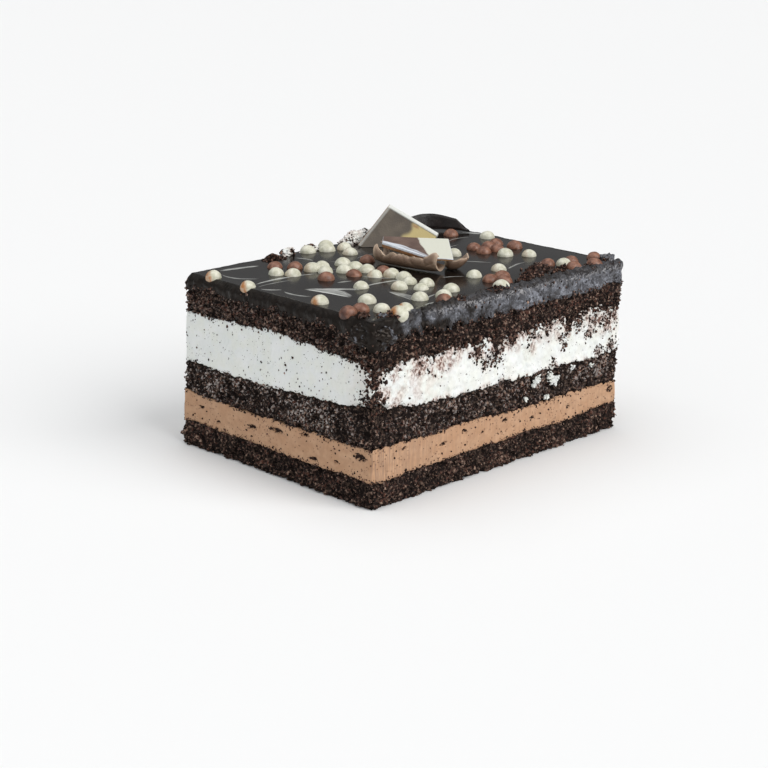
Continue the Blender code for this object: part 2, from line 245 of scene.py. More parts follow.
def grain(tree, size, contrast=0.5, flatten=1.0):
    """Places the grain group in a material, with its size in millimetres. Its outputs: Mask and Height."""
    return use_group(tree, grain_group, Size=size, Contrast=contrast, Flatten=flatten)


print("node group", grain_group.name)

# %% [markdown]
# ## Spots
# Pores and specks are separate round things, which noise can't give. A Voronoi texture has one point in each
# cell: the distance to it makes the spot, the cell's random colour leaves most spots out and sizes the
# others, and a little noise frays their outline.

# %% The spots group
spots_group, spots_in, spots_out = new_group(
    "spots", {"Spacing": 1.0, "Radius": 0.3, "Amount": 0.3, "Flatten": 1.0, "Ragged": 0.2}, ["Mask"]
)
places, per_metre = object_places(spots_group, spots_in, "Spacing")
cells = node(spots_group, "ShaderNodeTexVoronoi", {"Vector": places, "Scale": per_metre})
fray_scale = times(spots_group, per_metre, 4.0)
fray = node(spots_group, "ShaderNodeTexNoise", {"Vector": places, "Scale": fray_scale, "Detail": 2.0})
frayed = times(spots_group, maths(spots_group, "SUBTRACT", fray.outputs[0], 0.5), spots_in["Ragged"])
distance = plus(spots_group, cells.outputs["Distance"], frayed)
lots = node(spots_group, "ShaderNodeSeparateColor", {0: cells.outputs["Color"]}).outputs
own_radius = times(spots_group, spots_in["Radius"], rise(spots_group, lots[1], 0.0, 1.0, 0.4, 1.0))
inside = rise(spots_group, distance, times(spots_group, own_radius, 0.6), own_radius, 1.0, 0.0)
there = maths(spots_group, "LESS_THAN", lots[0], spots_in["Amount"])
spots_group.links.new(times(spots_group, inside, there), spots_out.inputs["Mask"])


def specks(tree, spacing, radius, amount, ragged, flatten=1.0):
    """Places the spots group, with its spacing in millimetres and its radius as a share of that."""
    made = use_group(
        tree, spots_group, Spacing=spacing, Radius=radius, Amount=amount, Ragged=ragged, Flatten=flatten
    )
    return made["Mask"]


print("node group", spots_group.name)

# %% [markdown]
# ## Finishes
# A finish is one material. Each could be a picture wrapped round the mesh, but a picture needs unwrapping
# and blurs close up. Here noise gives the fine pattern, and values painted on the mesh's points, such as
# proud or torn, say where it shows.

# %% Material helpers
def finish(name, roughness):
    """A new material with its tree and its main shader."""
    made = bpy.data.materials.new(name)
    made.use_nodes = True
    shader = made.node_tree.nodes["Principled BSDF"]
    shader.inputs["Roughness"].default_value = roughness
    print("finish", name)
    return made, made.node_tree, shader


def bump(tree, shader, height, depth):
    """Feeds a height, whose full range is depth millimetres, to the shader's normal."""
    raised = node(tree, "ShaderNodeBump", {"Distance": depth * MM, "Height": height})
    tree.links.new(raised.outputs[0], shader.inputs["Normal"])


def colour(tree, shader, socket):
    """Feeds a colour to the shader."""
    tree.links.new(socket, shader.inputs["Base Color"])


# %% [markdown]
# ## Sponge finish
# Chocolate sponge is dark and matt. A crumb that stands out is brown with pale flecks of painted highlight, a
# hollow is painted almost black as its shade, and the knife leaves dust of cream on it, which on the top
# sponge's short sides also stands in for painted glints. One colour with a bump would look like clay, so the
# colour follows how proud the mesh stands at each point.

# %% Sponge
# painted shade: the near-black colour of the sponge's hollows
SPONGE_HOLLOW_SHADE = (0.0085, 0.0042, 0.0032)
# pale cream dust, which also serves as painted glints
CREAM_DUST_AND_GLINT = (0.62, 0.57, 0.54)


def sponge_finish(name, brown, lit):
    """Painted shade in the hollows, brown knobs and flecks of painted highlight. Painted on it: proud, dust
    and glints.
    """
    made, tree, shader = finish(name, 0.85)
    shader.inputs["Specular IOR Level"].default_value = 0.2
    fine = grain(tree, 0.6, contrast=0.8)
    coarse = grain(tree, 3.0, contrast=0.4)["Mask"]
    highlight_cloud = grain(tree, 0.72)["Height"]
    dust_and_glint_cloud = grain(tree, 0.58, flatten=0.8)["Height"]
    proud = painted(tree, "proud")
    # painted highlight: pale flecks on the proud tips, in the lit colour
    flecks = times(tree, rise(tree, highlight_cloud, 0.53, 0.585), rise(tree, proud, 0.2, 0.8, 0.2, 1.0))
    # dust of cream, and on the top sponge's short sides painted glints
    dust_and_glint = times(tree, rise(tree, dust_and_glint_cloud, 0.5, 0.58), painted(tree, "dust_and_glint"))
    dust_and_glint = times(tree, dust_and_glint, rise(tree, proud, 0.15, 0.65))
    # painted shade: points in a hollow, which stand less proud, take the near-black colour
    tint = mix(tree, times(tree, fine["Mask"], rise(tree, proud, 0.15, 0.8)), SPONGE_HOLLOW_SHADE, brown)
    tint = mix(tree, flecks, tint, lit)
    # slow darker patches, in the same near-black colour
    tint = mix(tree, times(tree, coarse, 0.3), tint, SPONGE_HOLLOW_SHADE)
    colour(tree, shader, mix(tree, dust_and_glint, tint, CREAM_DUST_AND_GLINT))
    bump(tree, shader, plus(tree, fine["Height"], flecks), 0.4)
    return made


dark_sponge = sponge_finish("dark_sponge_crumb", (0.128, 0.055, 0.038), (0.40, 0.27, 0.205))
loose_sponge = sponge_finish("loose_sponge_crumb", (0.124, 0.053, 0.036), (0.29, 0.170, 0.125))

# %% [markdown]
# ## White cream finish
# Whipped cream is off-white in faint clouds. Where the knife tore it, crumbs smeared it brown. The larger
# crumbs come later as meshes: here are the specks that are too small to model, and the smears, which
# show where torn was painted.

# %% White cream
white_cream, tree, shader = finish("white_cream_whipped", 0.55)
crumbs = specks(tree, spacing=1.0, radius=0.25, amount=0.3, ragged=0.35, flatten=0.8)
dots = specks(tree, spacing=0.5, radius=0.3, amount=0.13, ragged=0.3)
cloudy = grain(tree, 7.0, contrast=0.1)["Mask"]
tinge = grain(tree, 4.0, contrast=0.6)["Mask"]
smear = grain(tree, 2.4, contrast=0.5, flatten=0.8)["Mask"]
dirt = grain(tree, 0.7, contrast=0.7, flatten=0.8)["Mask"]
soft = grain(tree, 0.9, contrast=0.2, flatten=0.6)["Height"]
torn = painted(tree, "torn")
tint = mix(tree, cloudy, (0.77, 0.80, 0.78), (0.84, 0.855, 0.845))
tint = mix(tree, times(tree, tinge, 0.3), tint, (0.79, 0.80, 0.68))
tint = mix(tree, times(tree, smear, torn, 0.6), tint, (0.68, 0.50, 0.43))
tint = mix(tree, times(tree, smear, dirt, rise(tree, torn, 0.25, 0.95)), tint, (0.16, 0.075, 0.052))
tint = mix(tree, maths(tree, "MAXIMUM", crumbs, dots), tint, (0.055, 0.034, 0.028))
colour(tree, shader, tint)
bump(tree, shader, maths(tree, "SUBTRACT", soft, crumbs), 0.25)

# %% [markdown]
# ## Mocha cream finish
# Mocha cream is denser than the white one, so a knife cuts it cleanly: its air shows as pores, and the
# blade leaves fine upright strokes. The large pores are in the mesh, and painted with the value pore, whose
# edge is frayed here: inside it the colour is a painted shade. The small ones are spots and pinholes: painted
# shade in the colour, and dents in the bump.

# %% Mocha cream
mocha_cream, tree, shader = finish("mocha_cream_cut", 0.6)
shader.inputs["Specular IOR Level"].default_value = 0.2
holes = specks(tree, spacing=1.5, radius=0.26, amount=0.14, ragged=0.6, flatten=1.7)
pinholes = specks(tree, spacing=0.6, radius=0.38, amount=0.22, ragged=0.6, flatten=1.1)
fray = rise(tree, grain(tree, 0.8, flatten=1.5)["Height"], 0.3, 0.7, -0.55, 0.5)
pores = rise(tree, plus(tree, painted(tree, "pore"), fray), 0.0, 0.25)
cloudy = grain(tree, 5.0, contrast=0.2, flatten=1.8)["Mask"]
mottle = grain(tree, 1.3, contrast=0.3)["Mask"]
knife = grain(tree, 0.55, contrast=0.5, flatten=0.08)
scraped = painted(tree, "scraped")
tint = mix(tree, cloudy, (0.500, 0.292, 0.172), (0.570, 0.355, 0.222))
tint = mix(tree, times(tree, mottle, 0.4), tint, (0.385, 0.215, 0.122))
tint = mix(tree, times(tree, knife["Mask"], scraped), tint, (0.28, 0.180, 0.125))
# painted shade in the small pores and pinholes
tint = mix(tree, times(tree, pinholes, 0.7), tint, (0.19, 0.095, 0.052))
tint = mix(tree, times(tree, holes, 0.85), tint, (0.085, 0.036, 0.020))
# painted shade inside the large pores
colour(tree, shader, mix(tree, pores, tint, (0.030, 0.013, 0.008)))
sunk = plus(tree, pores, holes, pinholes)
bump(tree, shader, maths(tree, "SUBTRACT", times(tree, knife["Height"], scraped), sunk), 0.3)

# %% [markdown]
# ## Glaze finish
# Poured glaze is a dark mirror. Where it was cut it is dull, and its pale bluish grey is partly bloom, the
# grey film of fat and sugar on old chocolate, and partly a painted sheen of reflected light. Its torn rim
# glitters with pale crystals. The colour could be plain black, but the pale grey is what shows its shape, so
# three painted values say where it is pale, crumbly or worn.

# %% Glaze
GLAZE_SHADES = ((0.0070, 0.0050, 0.0040), (0.0125, 0.0090, 0.0074))
# the pale bluish grey is bloom and a painted sheen of reflected light
GLAZE_WORN, GLAZE_BLOOM_AND_SHEEN = (0.0012, 0.0010, 0.0010), (0.178, 0.186, 0.212)
BLOOM_CRYSTAL, RIM_CRYSTAL = (0.46, 0.48, 0.54), (0.48, 0.47, 0.48)
WHITE_CHOCOLATE = (0.66, 0.67, 0.64)


def glaze_finish(name, milk):
    """Dark glaze. Painted on it: bloom with painted sheen, crumbly, worn and, where milk is set, how white it
    is.
    """
    made, tree, shader = finish(name, 0.2)
    shader.inputs["Specular IOR Level"].default_value = 0.2
    shader.inputs["Specular Tint"].default_value = (1.0, 0.87, 0.77, 1.0)
    wear = grain(tree, 0.9)
    bloom_cloud = grain(tree, 2.6, contrast=0.7, flatten=1.8)["Mask"]
    cracks = rise(tree, grain(tree, 1.1, flatten=0.7)["Height"], 0.36, 0.46, 0.25, 1.0)
    flecks = rise(tree, grain(tree, 0.6)["Height"], 0.48, 0.56)
    crystals = rise(tree, grain(tree, 0.45)["Height"], 0.56, 0.62)
    worn, rough_rim = painted(tree, "worn"), painted(tree, "crumbly")
    # bloom and painted sheen: pale bluish grey in patches and cracks
    bloom = times(tree, painted(tree, "bloom"), rise(tree, bloom_cloud, 0.08, 0.92, 0.45, 1.0), cracks)
    crumbly = times(tree, rough_rim, flecks)
    tint = mix(tree, wear["Mask"], *GLAZE_SHADES)
    tint = mix(tree, worn, tint, GLAZE_WORN)
    tint = mix(tree, bloom, tint, GLAZE_BLOOM_AND_SHEEN)
    tint = mix(tree, times(tree, crystals, bloom, 0.5), tint, BLOOM_CRYSTAL)
    tint = mix(tree, crumbly, tint, RIM_CRYSTAL)
    if milk:
        tint = mix(tree, painted(tree, "milk"), tint, WHITE_CHOCOLATE)
    colour(tree, shader, tint)
    dull = maths(tree, "MAXIMUM", maths(tree, "MAXIMUM", bloom, rough_rim), worn)
    tree.links.new(rise(tree, dull, 0.0, 0.6, 0.16, 0.46), shader.inputs["Roughness"])
    relief = times(tree, wear["Height"], rise(tree, dull, 0.0, 1.0, 0.03, 1.0))
    bump(tree, shader, plus(tree, relief, times(tree, crumbly, 0.6)), 0.45)
    return made


glaze_coat = glaze_finish("glaze_poured", milk=False)
milk_thread = glaze_finish("white_chocolate_in_glaze", milk=True)

# %% [markdown]
# ## Chocolate finishes
# Milk and dark chocolate have a satin shine and slow, faint clouds of colour. A plain colour would do from
# far away. The milk chocolate is also painted paler along a shaving's thin border, a painted highlight where
# the edge catches the light and lets it through.

# %% Milk chocolate and dark chocolate
def chocolate_finish(name, dark, light, roughness, size, flatten=1.0):
    """Satin chocolate: two close shades in slow clouds, with a fine grain."""
    made, tree, shader = finish(name, roughness)
    cloudy = grain(tree, size, contrast=0.3, flatten=flatten)
    fine = grain(tree, 0.25, contrast=0.3)["Height"]
    tint = mix(tree, cloudy["Mask"], dark, light)
    colour(tree, shader, tint)
    bump(tree, shader, plus(tree, times(tree, fine, 0.3), cloudy["Height"]), 0.2)
    return made, tree, shader, tint


milk_chocolate, tree, shader, tint = chocolate_finish(
    "milk_chocolate_shaved", (0.185, 0.115, 0.078), (0.275, 0.185, 0.130), 0.42, 4.5, 1.6
)
# painted highlight: paler along the thin border of a shaving
colour(tree, shader, mix(tree, painted(tree, "thin"), tint, (0.50, 0.37, 0.27)))
dark_chocolate, tree, shader, _ = chocolate_finish(
    "dark_chocolate_satin", (0.009, 0.0065, 0.006), (0.016, 0.011, 0.010), 0.28, 3.0
)
shader.inputs["Specular IOR Level"].default_value = 0.3

# %% [markdown]
# ## Pearl finishes
# A sugar pearl has a thin, slightly uneven coat. Cocoa rubs off on it where it touches the glaze or the
# cake's edge, so it carries a stain on one side. The same satin finish does, with one mix more.

# %% White and brown pearls
def pearl_finish(name, dark, light, stain):
    """A sugar coat over a crisp centre. Painted on it: stain."""
    made, tree, shader, tint = chocolate_finish(name, dark, light, 0.38, 1.4)
    mottle = grain(tree, 2.5, contrast=0.6)["Mask"]
    stained = times(tree, rise(tree, mottle, 0.0, 1.0, 0.6, 1.0), painted(tree, "stain"))
    colour(tree, shader, mix(tree, stained, tint, stain))
    return made


white_pearl = pearl_finish("pearl_white", (0.51, 0.50, 0.38), (0.74, 0.725, 0.61), (0.42, 0.17, 0.05))
brown_pearl = pearl_finish("pearl_brown", (0.14, 0.055, 0.031), (0.30, 0.140, 0.088), (0.06, 0.02, 0.012))

# %% [markdown]
# ## Marbled chocolate finishes
# Two chocolates spread on each other and broken into boards show a patch of the paler one, a pale rim and a
# thin brown line between. The pale rim is partly painted highlight, where an edge catches the light. A marble
# texture would put them anywhere. Here the mesh says where each lies.

# %% Marbled chocolate sheets
PATCH_LINE = (0.26, 0.12, 0.045)


def marbled_finish(name, dark, light, patch, rim):
    """A sheet of two chocolates. Painted: patch, a paler colour, rim, pale edge and highlight, brown, its
    line.
    """
    made, tree, shader = finish(name, 0.33)
    tint = mix(tree, grain(tree, 4.0, contrast=0.3)["Mask"], dark, light)
    # rim: a pale edge that is partly painted highlight
    for label, shade in (("patch", patch), ("rim", rim), ("brown", PATCH_LINE)):
        tint = mix(tree, painted(tree, label), tint, shade)
    colour(tree, shader, tint)
    bump(tree, shader, grain(tree, 0.5, contrast=0.3)["Height"], 0.06)
    return made


marbled_plaque = marbled_finish(
    "ivory_marbled", (0.056, 0.041, 0.027), (0.090, 0.069, 0.047), (0.44, 0.35, 0.145), (0.72, 0.73, 0.69)
)
marbled_milk = marbled_finish(
    "milk_marbled", (0.105, 0.060, 0.045), (0.170, 0.108, 0.082), (0.70, 0.70, 0.60), (0.66, 0.70, 0.76)
)
print(len(bpy.data.materials), "materials in all")

# %% [markdown]
# ## Mesh helpers
# Each piece is a mesh made from a list of points and a list of faces. The editor's tools could model it,
# but arrays of numbers can be bent and torn by a formula at every point, and give the same mesh each time.

# %% Turn points and faces into a piece of the cake
def add_piece(name, points, faces, material, slot, node_name, sharp=None, **attributes):
    """A mesh object with one finish and painted values, riding on the cake in place of its solid."""
    mesh = bpy.data.meshes.new(name)
    corners = np.asarray(faces, object).tolist()
    mesh.from_pydata(np.asarray(points).tolist(), [], [tuple(face) for face in corners])
    mesh.materials.append(material)
    mesh.shade_smooth()
    if sharp is not None:
        mesh.set_sharp_from_angle(angle=math.radians(sharp))
    for label, values in attributes.items():
        layer = mesh.attributes.new(label, "FLOAT", "POINT")
        layer.data.foreach_set("value", np.asarray(values, np.float32))
    mesh.validate()
    piece = bpy.data.objects.new(name, mesh)
    bpy.context.scene.collection.objects.link(piece)
    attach(piece, "root")
    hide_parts(node_name)
    print(f"{name}: {sum(len(face.vertices) - 2 for face in mesh.polygons)} triangles")


def band(low, high):
    """The quads between two closed loops of point numbers."""
    return np.stack([low, np.roll(low, -1), np.roll(high, -1), high], 1)


# %% Noise in millimetres
def noise_at(points, size, shift=0.0):
    """Smooth noise from -1 to 1 at each point, with bumps of about that size in millimetres."""
    places = np.asarray(points, float) / (size * MM)
    places[:, 0] += shift
    return np.array([noise.noise(place) for place in places.tolist()])


def cells_at(points, size, shift=0.0):
    """1 in the middle of each grain of that size, falling to 0 in the cracks between grains."""
    places = np.asarray(points, float) / (size * MM)
    places[:, 0] += shift
    nearest = np.array([noise.voronoi(place)[0][:2] for place in places.tolist()])
    return np.clip((nearest[:, 1] - nearest[:, 0]) * 1.6, 0.0, 1.0)


def ridged(points, size, shift=0.0):
    """Noise from -1 to 1 with sharp crests at 1."""
    return 1 - 3 * np.abs(noise_at(points, size, shift))


def ease(values, low, high):
    """0 below low, 1 above high, and a smooth rise between."""
    share = np.clip((np.asarray(values, float) - low) / (high - low), 0.0, 1.0)
    return share * share * (3 - 2 * share)


# %% [markdown]
# ## The block's plan
# A layer of the block is a pile of rings, each once round the plan. It could be a subdivided and displaced
# cube, but then its points would not follow the torn edge between two layers. All layers share the same
# columns of points, so neighbours meet on the same ragged line.

# %% The block's plan, once round from the near corner
LENGTH = 98.0 * MM
WIDTH = 74.0 * MM
CORNER_RADIUS = 1.4 * MM
BACK_LEAN = 0.09
HALF = np.array([LENGTH / 2, WIDTH / 2])
LONG_COLUMNS = 280
SHORT_COLUMNS = 212
COLUMNS = 2 * (LONG_COLUMNS + SHORT_COLUMNS)

long_way = np.linspace(-1, 1, LONG_COLUMNS + 1)[:-1]
short_way = np.linspace(-1, 1, SHORT_COLUMNS + 1)[:-1]
long_end, short_end = np.ones(LONG_COLUMNS), np.ones(SHORT_COLUMNS)
square = np.concatenate([
    np.stack([long_way, -long_end], 1),
    np.stack([short_end, short_way], 1),
    np.stack([-long_way, long_end], 1),
    np.stack([-short_end, -short_way], 1),
])
inner = np.clip(square * HALF, CORNER_RADIUS - HALF, HALF - CORNER_RADIUS)
outward = square * HALF - inner
outward /= np.linalg.norm(outward, axis=1)[:, None]
rim = inner + outward * CORNER_RADIUS
front_face = ease(-outward[:, 1], 0.3, 0.9)
RING = np.arange(COLUMNS)
print(COLUMNS, "columns round the block")

# %% [markdown]
# ## Where the layers meet
# The layers were spread by hand, so their edges wander by a millimetre or two, and the knife tore them. Each
# height is a level, plus slow waves, plus what happened at one place: the near corner was pushed up, the
# cream stands higher on the left, and tongues of the top sponge hang down in front.

# %% Heights of the six layers
THICKNESSES = (7.3, 7.2, 8.7, 13.1, 7.9, 3.8)
LEVELS = [sum(THICKNESSES[:count]) * MM for count in range(len(THICKNESSES) + 1)]
GLAZE_TOP = LEVELS[-1]
SEAM = 0.02 * MM  # half the gap that keeps two layers from lying in each other
EDGE_TEARS = {  # between which layers: how ragged their edge is at the sides and in front, in millimetres
    1: (0.40, 0.40), 2: (0.40, 0.35), 3: (0.50, 0.60), 4: (0.55, 0.85), 5: (0.95, 1.0),
}
HANGING = (  # x, how far the top sponge hangs down there in front, half its width: in millimetres
    (-28.0, 2.4, 1.5), (-10.5, 1.3, 2.0), (-3.0, 4.2, 2.2), (2.6, 1.6, 2.6),
    (9.5, 1.3, 2.6), (26.2, 4.0, 1.4), (29.3, 2.4, 1.4), (44.0, 1.0, 2.4),
)
print("levels at", [round(height / MM, 1) for height in LEVELS], "mm")


# %% The edge between two layers, column by column
def near_corner(points, reach):
    """1 at the near corner, fading to 0 over the given reach in millimetres."""
    return np.exp(-((np.hypot(points[:, 0] + LENGTH / 2, points[:, 1] + WIDTH / 2) / (reach * MM)) ** 2))


def level_heights(level):
    """Height of the face between two layers at every column. Level 0 is the floor."""
    x, y = rim.T
    heights = np.full(COLUMNS, LEVELS[level])
    if level in (0, 6):
        return heights
    places = np.column_stack([rim, np.full(COLUMNS, level * 0.1)])
    heights += 0.75 * MM * noise_at(places, 17)
    left = ease(-x / MM, 15, 48) * ease(y / MM, -38, -30)
    tip = near_corner(rim, 4.5) * front_face
    if level == 1:
        heights -= 0.45 * MM * ease(-x / MM, 24, 40)
    if level == 2:
        heights += (0.8 * ease(-x / MM, -4, 10) - 0.35 * ease(x / MM, 14, 26)) * MM
    if level == 3:
        heights += (1.9 * near_corner(rim, 17) + 0.9 * tip + 0.8 * left) * MM
        heights += 0.4 * MM * ease(-x / MM, -8, 0) * (1 - left)
    if level == 4:
        heights -= (near_corner(rim, 16) * (0.3 + 0.7 * front_face) + 0.6 * tip) * MM
        heights += (1.4 + 1.1 * np.exp(-(((y / MM - 2) / 16) ** 2))) * MM * left
    if level == 5:
        heights -= 3.4 * MM * near_corner(rim, 7)
        front = np.clip(-y / (WIDTH / 2), 0, 1)
        heights -= 2.1 * MM * front**4 * (1 - near_corner(rim, 10))
    side_tear, front_tear = EDGE_TEARS[level]
    tear = side_tear + (front_tear - side_tear) * front_face
    ragged = noise_at(places, 3.4, 5) + 0.8 * noise_at(places, 1.3, 9) + 0.7 * noise_at(places, 0.7, 2)
    heights += tear * MM * ragged
    if level == 4:
        for middle, drop, reach in HANGING:
            heights -= drop * MM * front_face * np.exp(-(((x / MM - middle) / reach) ** 4))
    return heights


level_lines = [level_heights(level) for level in range(len(LEVELS))]
for level, line in enumerate(level_lines):
    print(f"edge {level} runs from {line.min() / MM:.1f} to {line.max() / MM:.1f} mm high")

# %% [markdown]
# ## A layer of the block
# Each layer is a closed body: rings of points up its side, quads between them, and a flat lid at both ends.
# The lids could be left out, since nobody sees them, but a closed body is also right when it is cut open.

# %% The side of a layer
def lean_back(points):
    """Draws the back of the block in towards its top."""
    behind = points[:, 1] > 0
    points[behind, 1] *= 1 - BACK_LEAN * points[behind, 2] / GLAZE_TOP
    return points


def ring_faces(rows):
    """The quads between the rings of a side, one row after another."""
    return np.concatenate([band(row * COLUMNS + RING, (row + 1) * COLUMNS + RING) for row in range(rows)])


def side_points(level, rows, crag):
    """The points of a layer's side, ring by ring, with each one's share of the height."""
    low = level_lines[level] + (0 if level == 0 else SEAM)
    high = level_lines[level + 1] - (0 if level == 5 else SEAM)
    points, shares = [], []
    for row in range(rows + 1):
        share = row / rows
        flat = np.column_stack([rim, low + (high - low) * share])
        out = crag(flat, np.full(COLUMNS, share))
        flat[:, :2] += outward * out[:, None]
        points.append(flat)
        shares.append(np.full(COLUMNS, share))
    return np.concatenate(points), np.concatenate(shares)


# %% A whole layer
LID_INSET = 0.93  # the lids are drawn in, so that they never show through a torn edge


def add_layer(name, level, rows, crag, material, node_name, paint):
    """A layer of the block: its side, and a flat lid drawn in below it and above it."""
    side, shares = side_points(level, rows, crag)
    faces = ring_faces(rows).tolist()
    points = [side]
    foot = 0.0 if level == 0 else LEVELS[level] + SEAM
    for ring_start, height in ((0, foot), (rows * COLUMNS, LEVELS[level + 1] - SEAM)):
        lid = side[ring_start : ring_start + COLUMNS].copy()
        lid[:, :2] *= LID_INSET
        lid[:, 2] = height
        cap = sum(len(part) for part in points) + RING
        quads = band(ring_start + RING, cap)
        if ring_start == 0:
            quads, cap = quads[:, ::-1], cap[::-1]
        faces += quads.tolist() + [cap.tolist()]
        points.append(lid)
    everything = lean_back(np.concatenate(points))
    bare = np.zeros(2 * COLUMNS)
    painted_values = {label: np.concatenate([values, bare]) for label, values in paint(side, shares).items()}
    slot = "dark_sponge" if node_name.endswith("sponge") else node_name
    add_piece(name, everything, faces, material, slot, node_name, **painted_values)
    return lean_back(side)


# %% [markdown]
# ## Sponges
# A sponge that a knife has passed is a wall of torn crumbs with holes between them. A displacement texture
# would only wrinkle it. Displacing the wall by cell noise gives knobs with cracks between, at two sizes, on
# top of the slow waves that the solid has. The loose crumbs come later, as chips of their own.

# %% The three sponges
def sponge_crag(points, share):
    """How far a sponge's torn side stands out from the plan."""
    lumps = 0.55 * noise_at(points, 9)
    shifted = points + np.array([1.0, 0.0, 0.0])
    grain = 0.75 * noise_at(shifted, 2.7)
    knobs = 0.9 * cells_at(points, 1.5) + 0.5 * cells_at(points, 0.9, 3) - 0.9
    pits = -0.8 * ease(noise_at(points, 2.0, 7), 0.15, 0.5)
    eased = -0.15 * (2 * share - 1) ** 6
    x, y, z = points.T / MM
    cavity = -2.2 * np.exp(-(((x + 43.2) / 2.2) ** 2) - ((z - 23.8) / 1.1) ** 2) * ease(-y, 33, 35)
    return (lumps + grain * 0.7 + knobs + pits + eased + cavity) * MM


def dust_and_glints(points):
    """Cream dust, a little on each sponge, most on the middle one, where the knife drew it down, and painted
    glints.
    """
    x, y, z = points.T / MM
    middle = ease(z, 14.0, 18.0) * (1 - ease(z, 23.5, 24.5))
    short_side = ease(np.abs(x), 45, 48) * (0.55 + 0.45 * ease(noise_at(points, 9), -0.3, 0.3))
    strewn = middle * (0.42 + 0.32 * short_side) * (1 - 0.9 * near_corner(points, 8))
    # painted glints: pale specks on the top sponge's short sides, in the colour of the dust
    return 0.04 + 0.12 * short_side * ease(z, 34, 38) + strewn


def sponge_paint(side, shares):
    """How proud each point stands, from 0 in a hollow to 1 on a tip, and its dust of cream and painted glint.
    """
    columns = np.tile(RING, len(side) // COLUMNS)
    out = ((side[:, :2] - rim[columns]) * outward[columns]).sum(1) / MM
    return {"proud": ease(out, -0.9, 0.5), "dust_and_glint": dust_and_glints(side)}


SPONGE_ROWS = 22
sides = {}
for name, level in (("bottom_sponge", 0), ("middle_sponge", 2), ("top_sponge", 4)):
    sides[name] = add_layer("torn_" + name, level, SPONGE_ROWS, sponge_crag, dark_sponge, name, sponge_paint)

# %% [markdown]
# ## Mocha cream
# The mocha cream was cut smooth and is drawn in a little between the sponges. The large bubbles that the
# knife opened are long flat hollows. A bump would leave them flat from the side, so the mesh is sunk there,
# at places that are listed, and the same value gives their inside a painted shade.

# %% The mocha cream
PORES = (  # x, y, height, half its length, half its height: bubbles that the knife opened, in millimetres
    (-49, -1.8, 12.6, 3.2, 0.6), (-49, 8.0, 11.2, 1.7, 0.6), (-49, -16.0, 8.3, 1.3, 0.55),
    (-49, -32.4, 12.9, 2.0, 0.8), (-49, 21.6, 9.3, 0.7, 0.45), (-49, -12.6, 14.0, 1.3, 0.5),
    (-49, -24.2, 9.7, 0.9, 0.4), (-49, 29.0, 11.8, 1.2, 0.4), (-22.5, -37, 11.6, 1.5, 0.4),
    (-15.1, -37, 13.2, 0.8, 0.5), (1.1, -37, 12.5, 1.1, 0.55), (-37.1, -37, 13.6, 1.0, 0.4),
    (12.2, -37, 10.8, 0.7, 0.4), (27.2, -37, 10.6, 0.9, 0.4), (45.6, -37, 11.9, 1.2, 0.8),
    (-7.9, -37, 11.2, 0.6, 0.35), (49, -20, 11.5, 2.2, 0.55), (49, 4, 9.6, 1.4, 0.5), (49, 22, 12.2, 1.1, 0.5),
    (30, 37, 11.0, 2.4, 0.6), (6, 37, 9.2, 1.2, 0.5), (-18, 37, 12.3, 1.6, 0.5), (-36, 37, 10.0, 0.9, 0.4),
)


def pore_at(points):
    """1 in the middle of a pore, 0 on its edge and less outside. The points lie on the plan."""
    deepest = np.full(len(points), -1.0)
    for x, y, height, long_half, tall_half in PORES:
        along = np.hypot(points[:, 0] / MM - x, points[:, 1] / MM - y) / long_half
        deepest = np.maximum(deepest, 1 - np.hypot(along, (points[:, 2] / MM - height) / tall_half))
    return deepest


def mocha_crag(points, share):
    """How far the mocha cream stands out: slow waves, shallow marks of the knife, and its pores."""
    shallow = 0.12 * noise_at(points * np.array([1, 1, 0.25]), 1.6) + 0.10 * noise_at(points, 2.2)
    return (-0.35 + 0.45 * noise_at(points, 11) + shallow - 0.8 * ease(pore_at(points), -0.1, 0.6)) * MM


def mocha_paint(side, shares):
    """How much the knife's upright strokes show: most near the corner where the cut began."""
    rings = len(side) // COLUMNS
    front = np.tile(front_face, rings)
    on_plan = np.column_stack([np.tile(rim, (rings, 1)), side[:, 2]])
    return {"scraped": 0.04 + front * (0.16 + 0.5 * near_corner(side, 18)), "pore": pore_at(on_plan)}


MOCHA_ROWS = 20
sides["mocha_cream"] = add_layer(
    "cut_mocha_cream", 1, MOCHA_ROWS, mocha_crag, mocha_cream, "mocha_cream", mocha_paint
)

# %% [markdown]
# ## White cream
# At the sides the white cream was wiped smooth. Along the front the knife tore it open: it is fluffy there,
# dragged crumbs colour its upper half, and clumps of them are pressed into it. Noise alone would put
# the clumps anywhere, so their places are a short list, which later also says where crumbs lie thick.

# %% Clumps of crumbs on the torn front
CLUMPS = (  # x, height, reach: where crumbs were pressed into the torn front, in millimetres
    (-10.4, 33.6, 2.0), (-4.6, 31.2, 2.2), (-7.4, 29.6, 1.5), (-1.8, 33.0, 1.6), (2.2, 34.6, 1.8),
    (10.8, 35.4, 2.2), (16.4, 35.0, 1.8), (24.9, 33.6, 1.5), (24.5, 31.2, 1.4), (24.1, 28.8, 1.3),
    (30.5, 34.4, 2.0), (35.2, 30.2, 1.4), (37.6, 33.8, 1.8), (43.2, 33.4, 2.8), (20.4, 24.4, 1.2),
    (39.6, 24.0, 1.2), (44.8, 24.6, 1.6),
)


def clumped(points):
    """1 in the middle of a clump of crumbs on the front, 0 away from all of them."""
    x, y, z = points.T / MM
    shares = [np.exp(-((x - middle) ** 2 + (z - height) ** 2) / reach**2) for middle, height, reach in CLUMPS]
    return np.max(shares, axis=0) * ease(-y, 33, 35)


print(len(CLUMPS), "clumps of crumbs on the front")

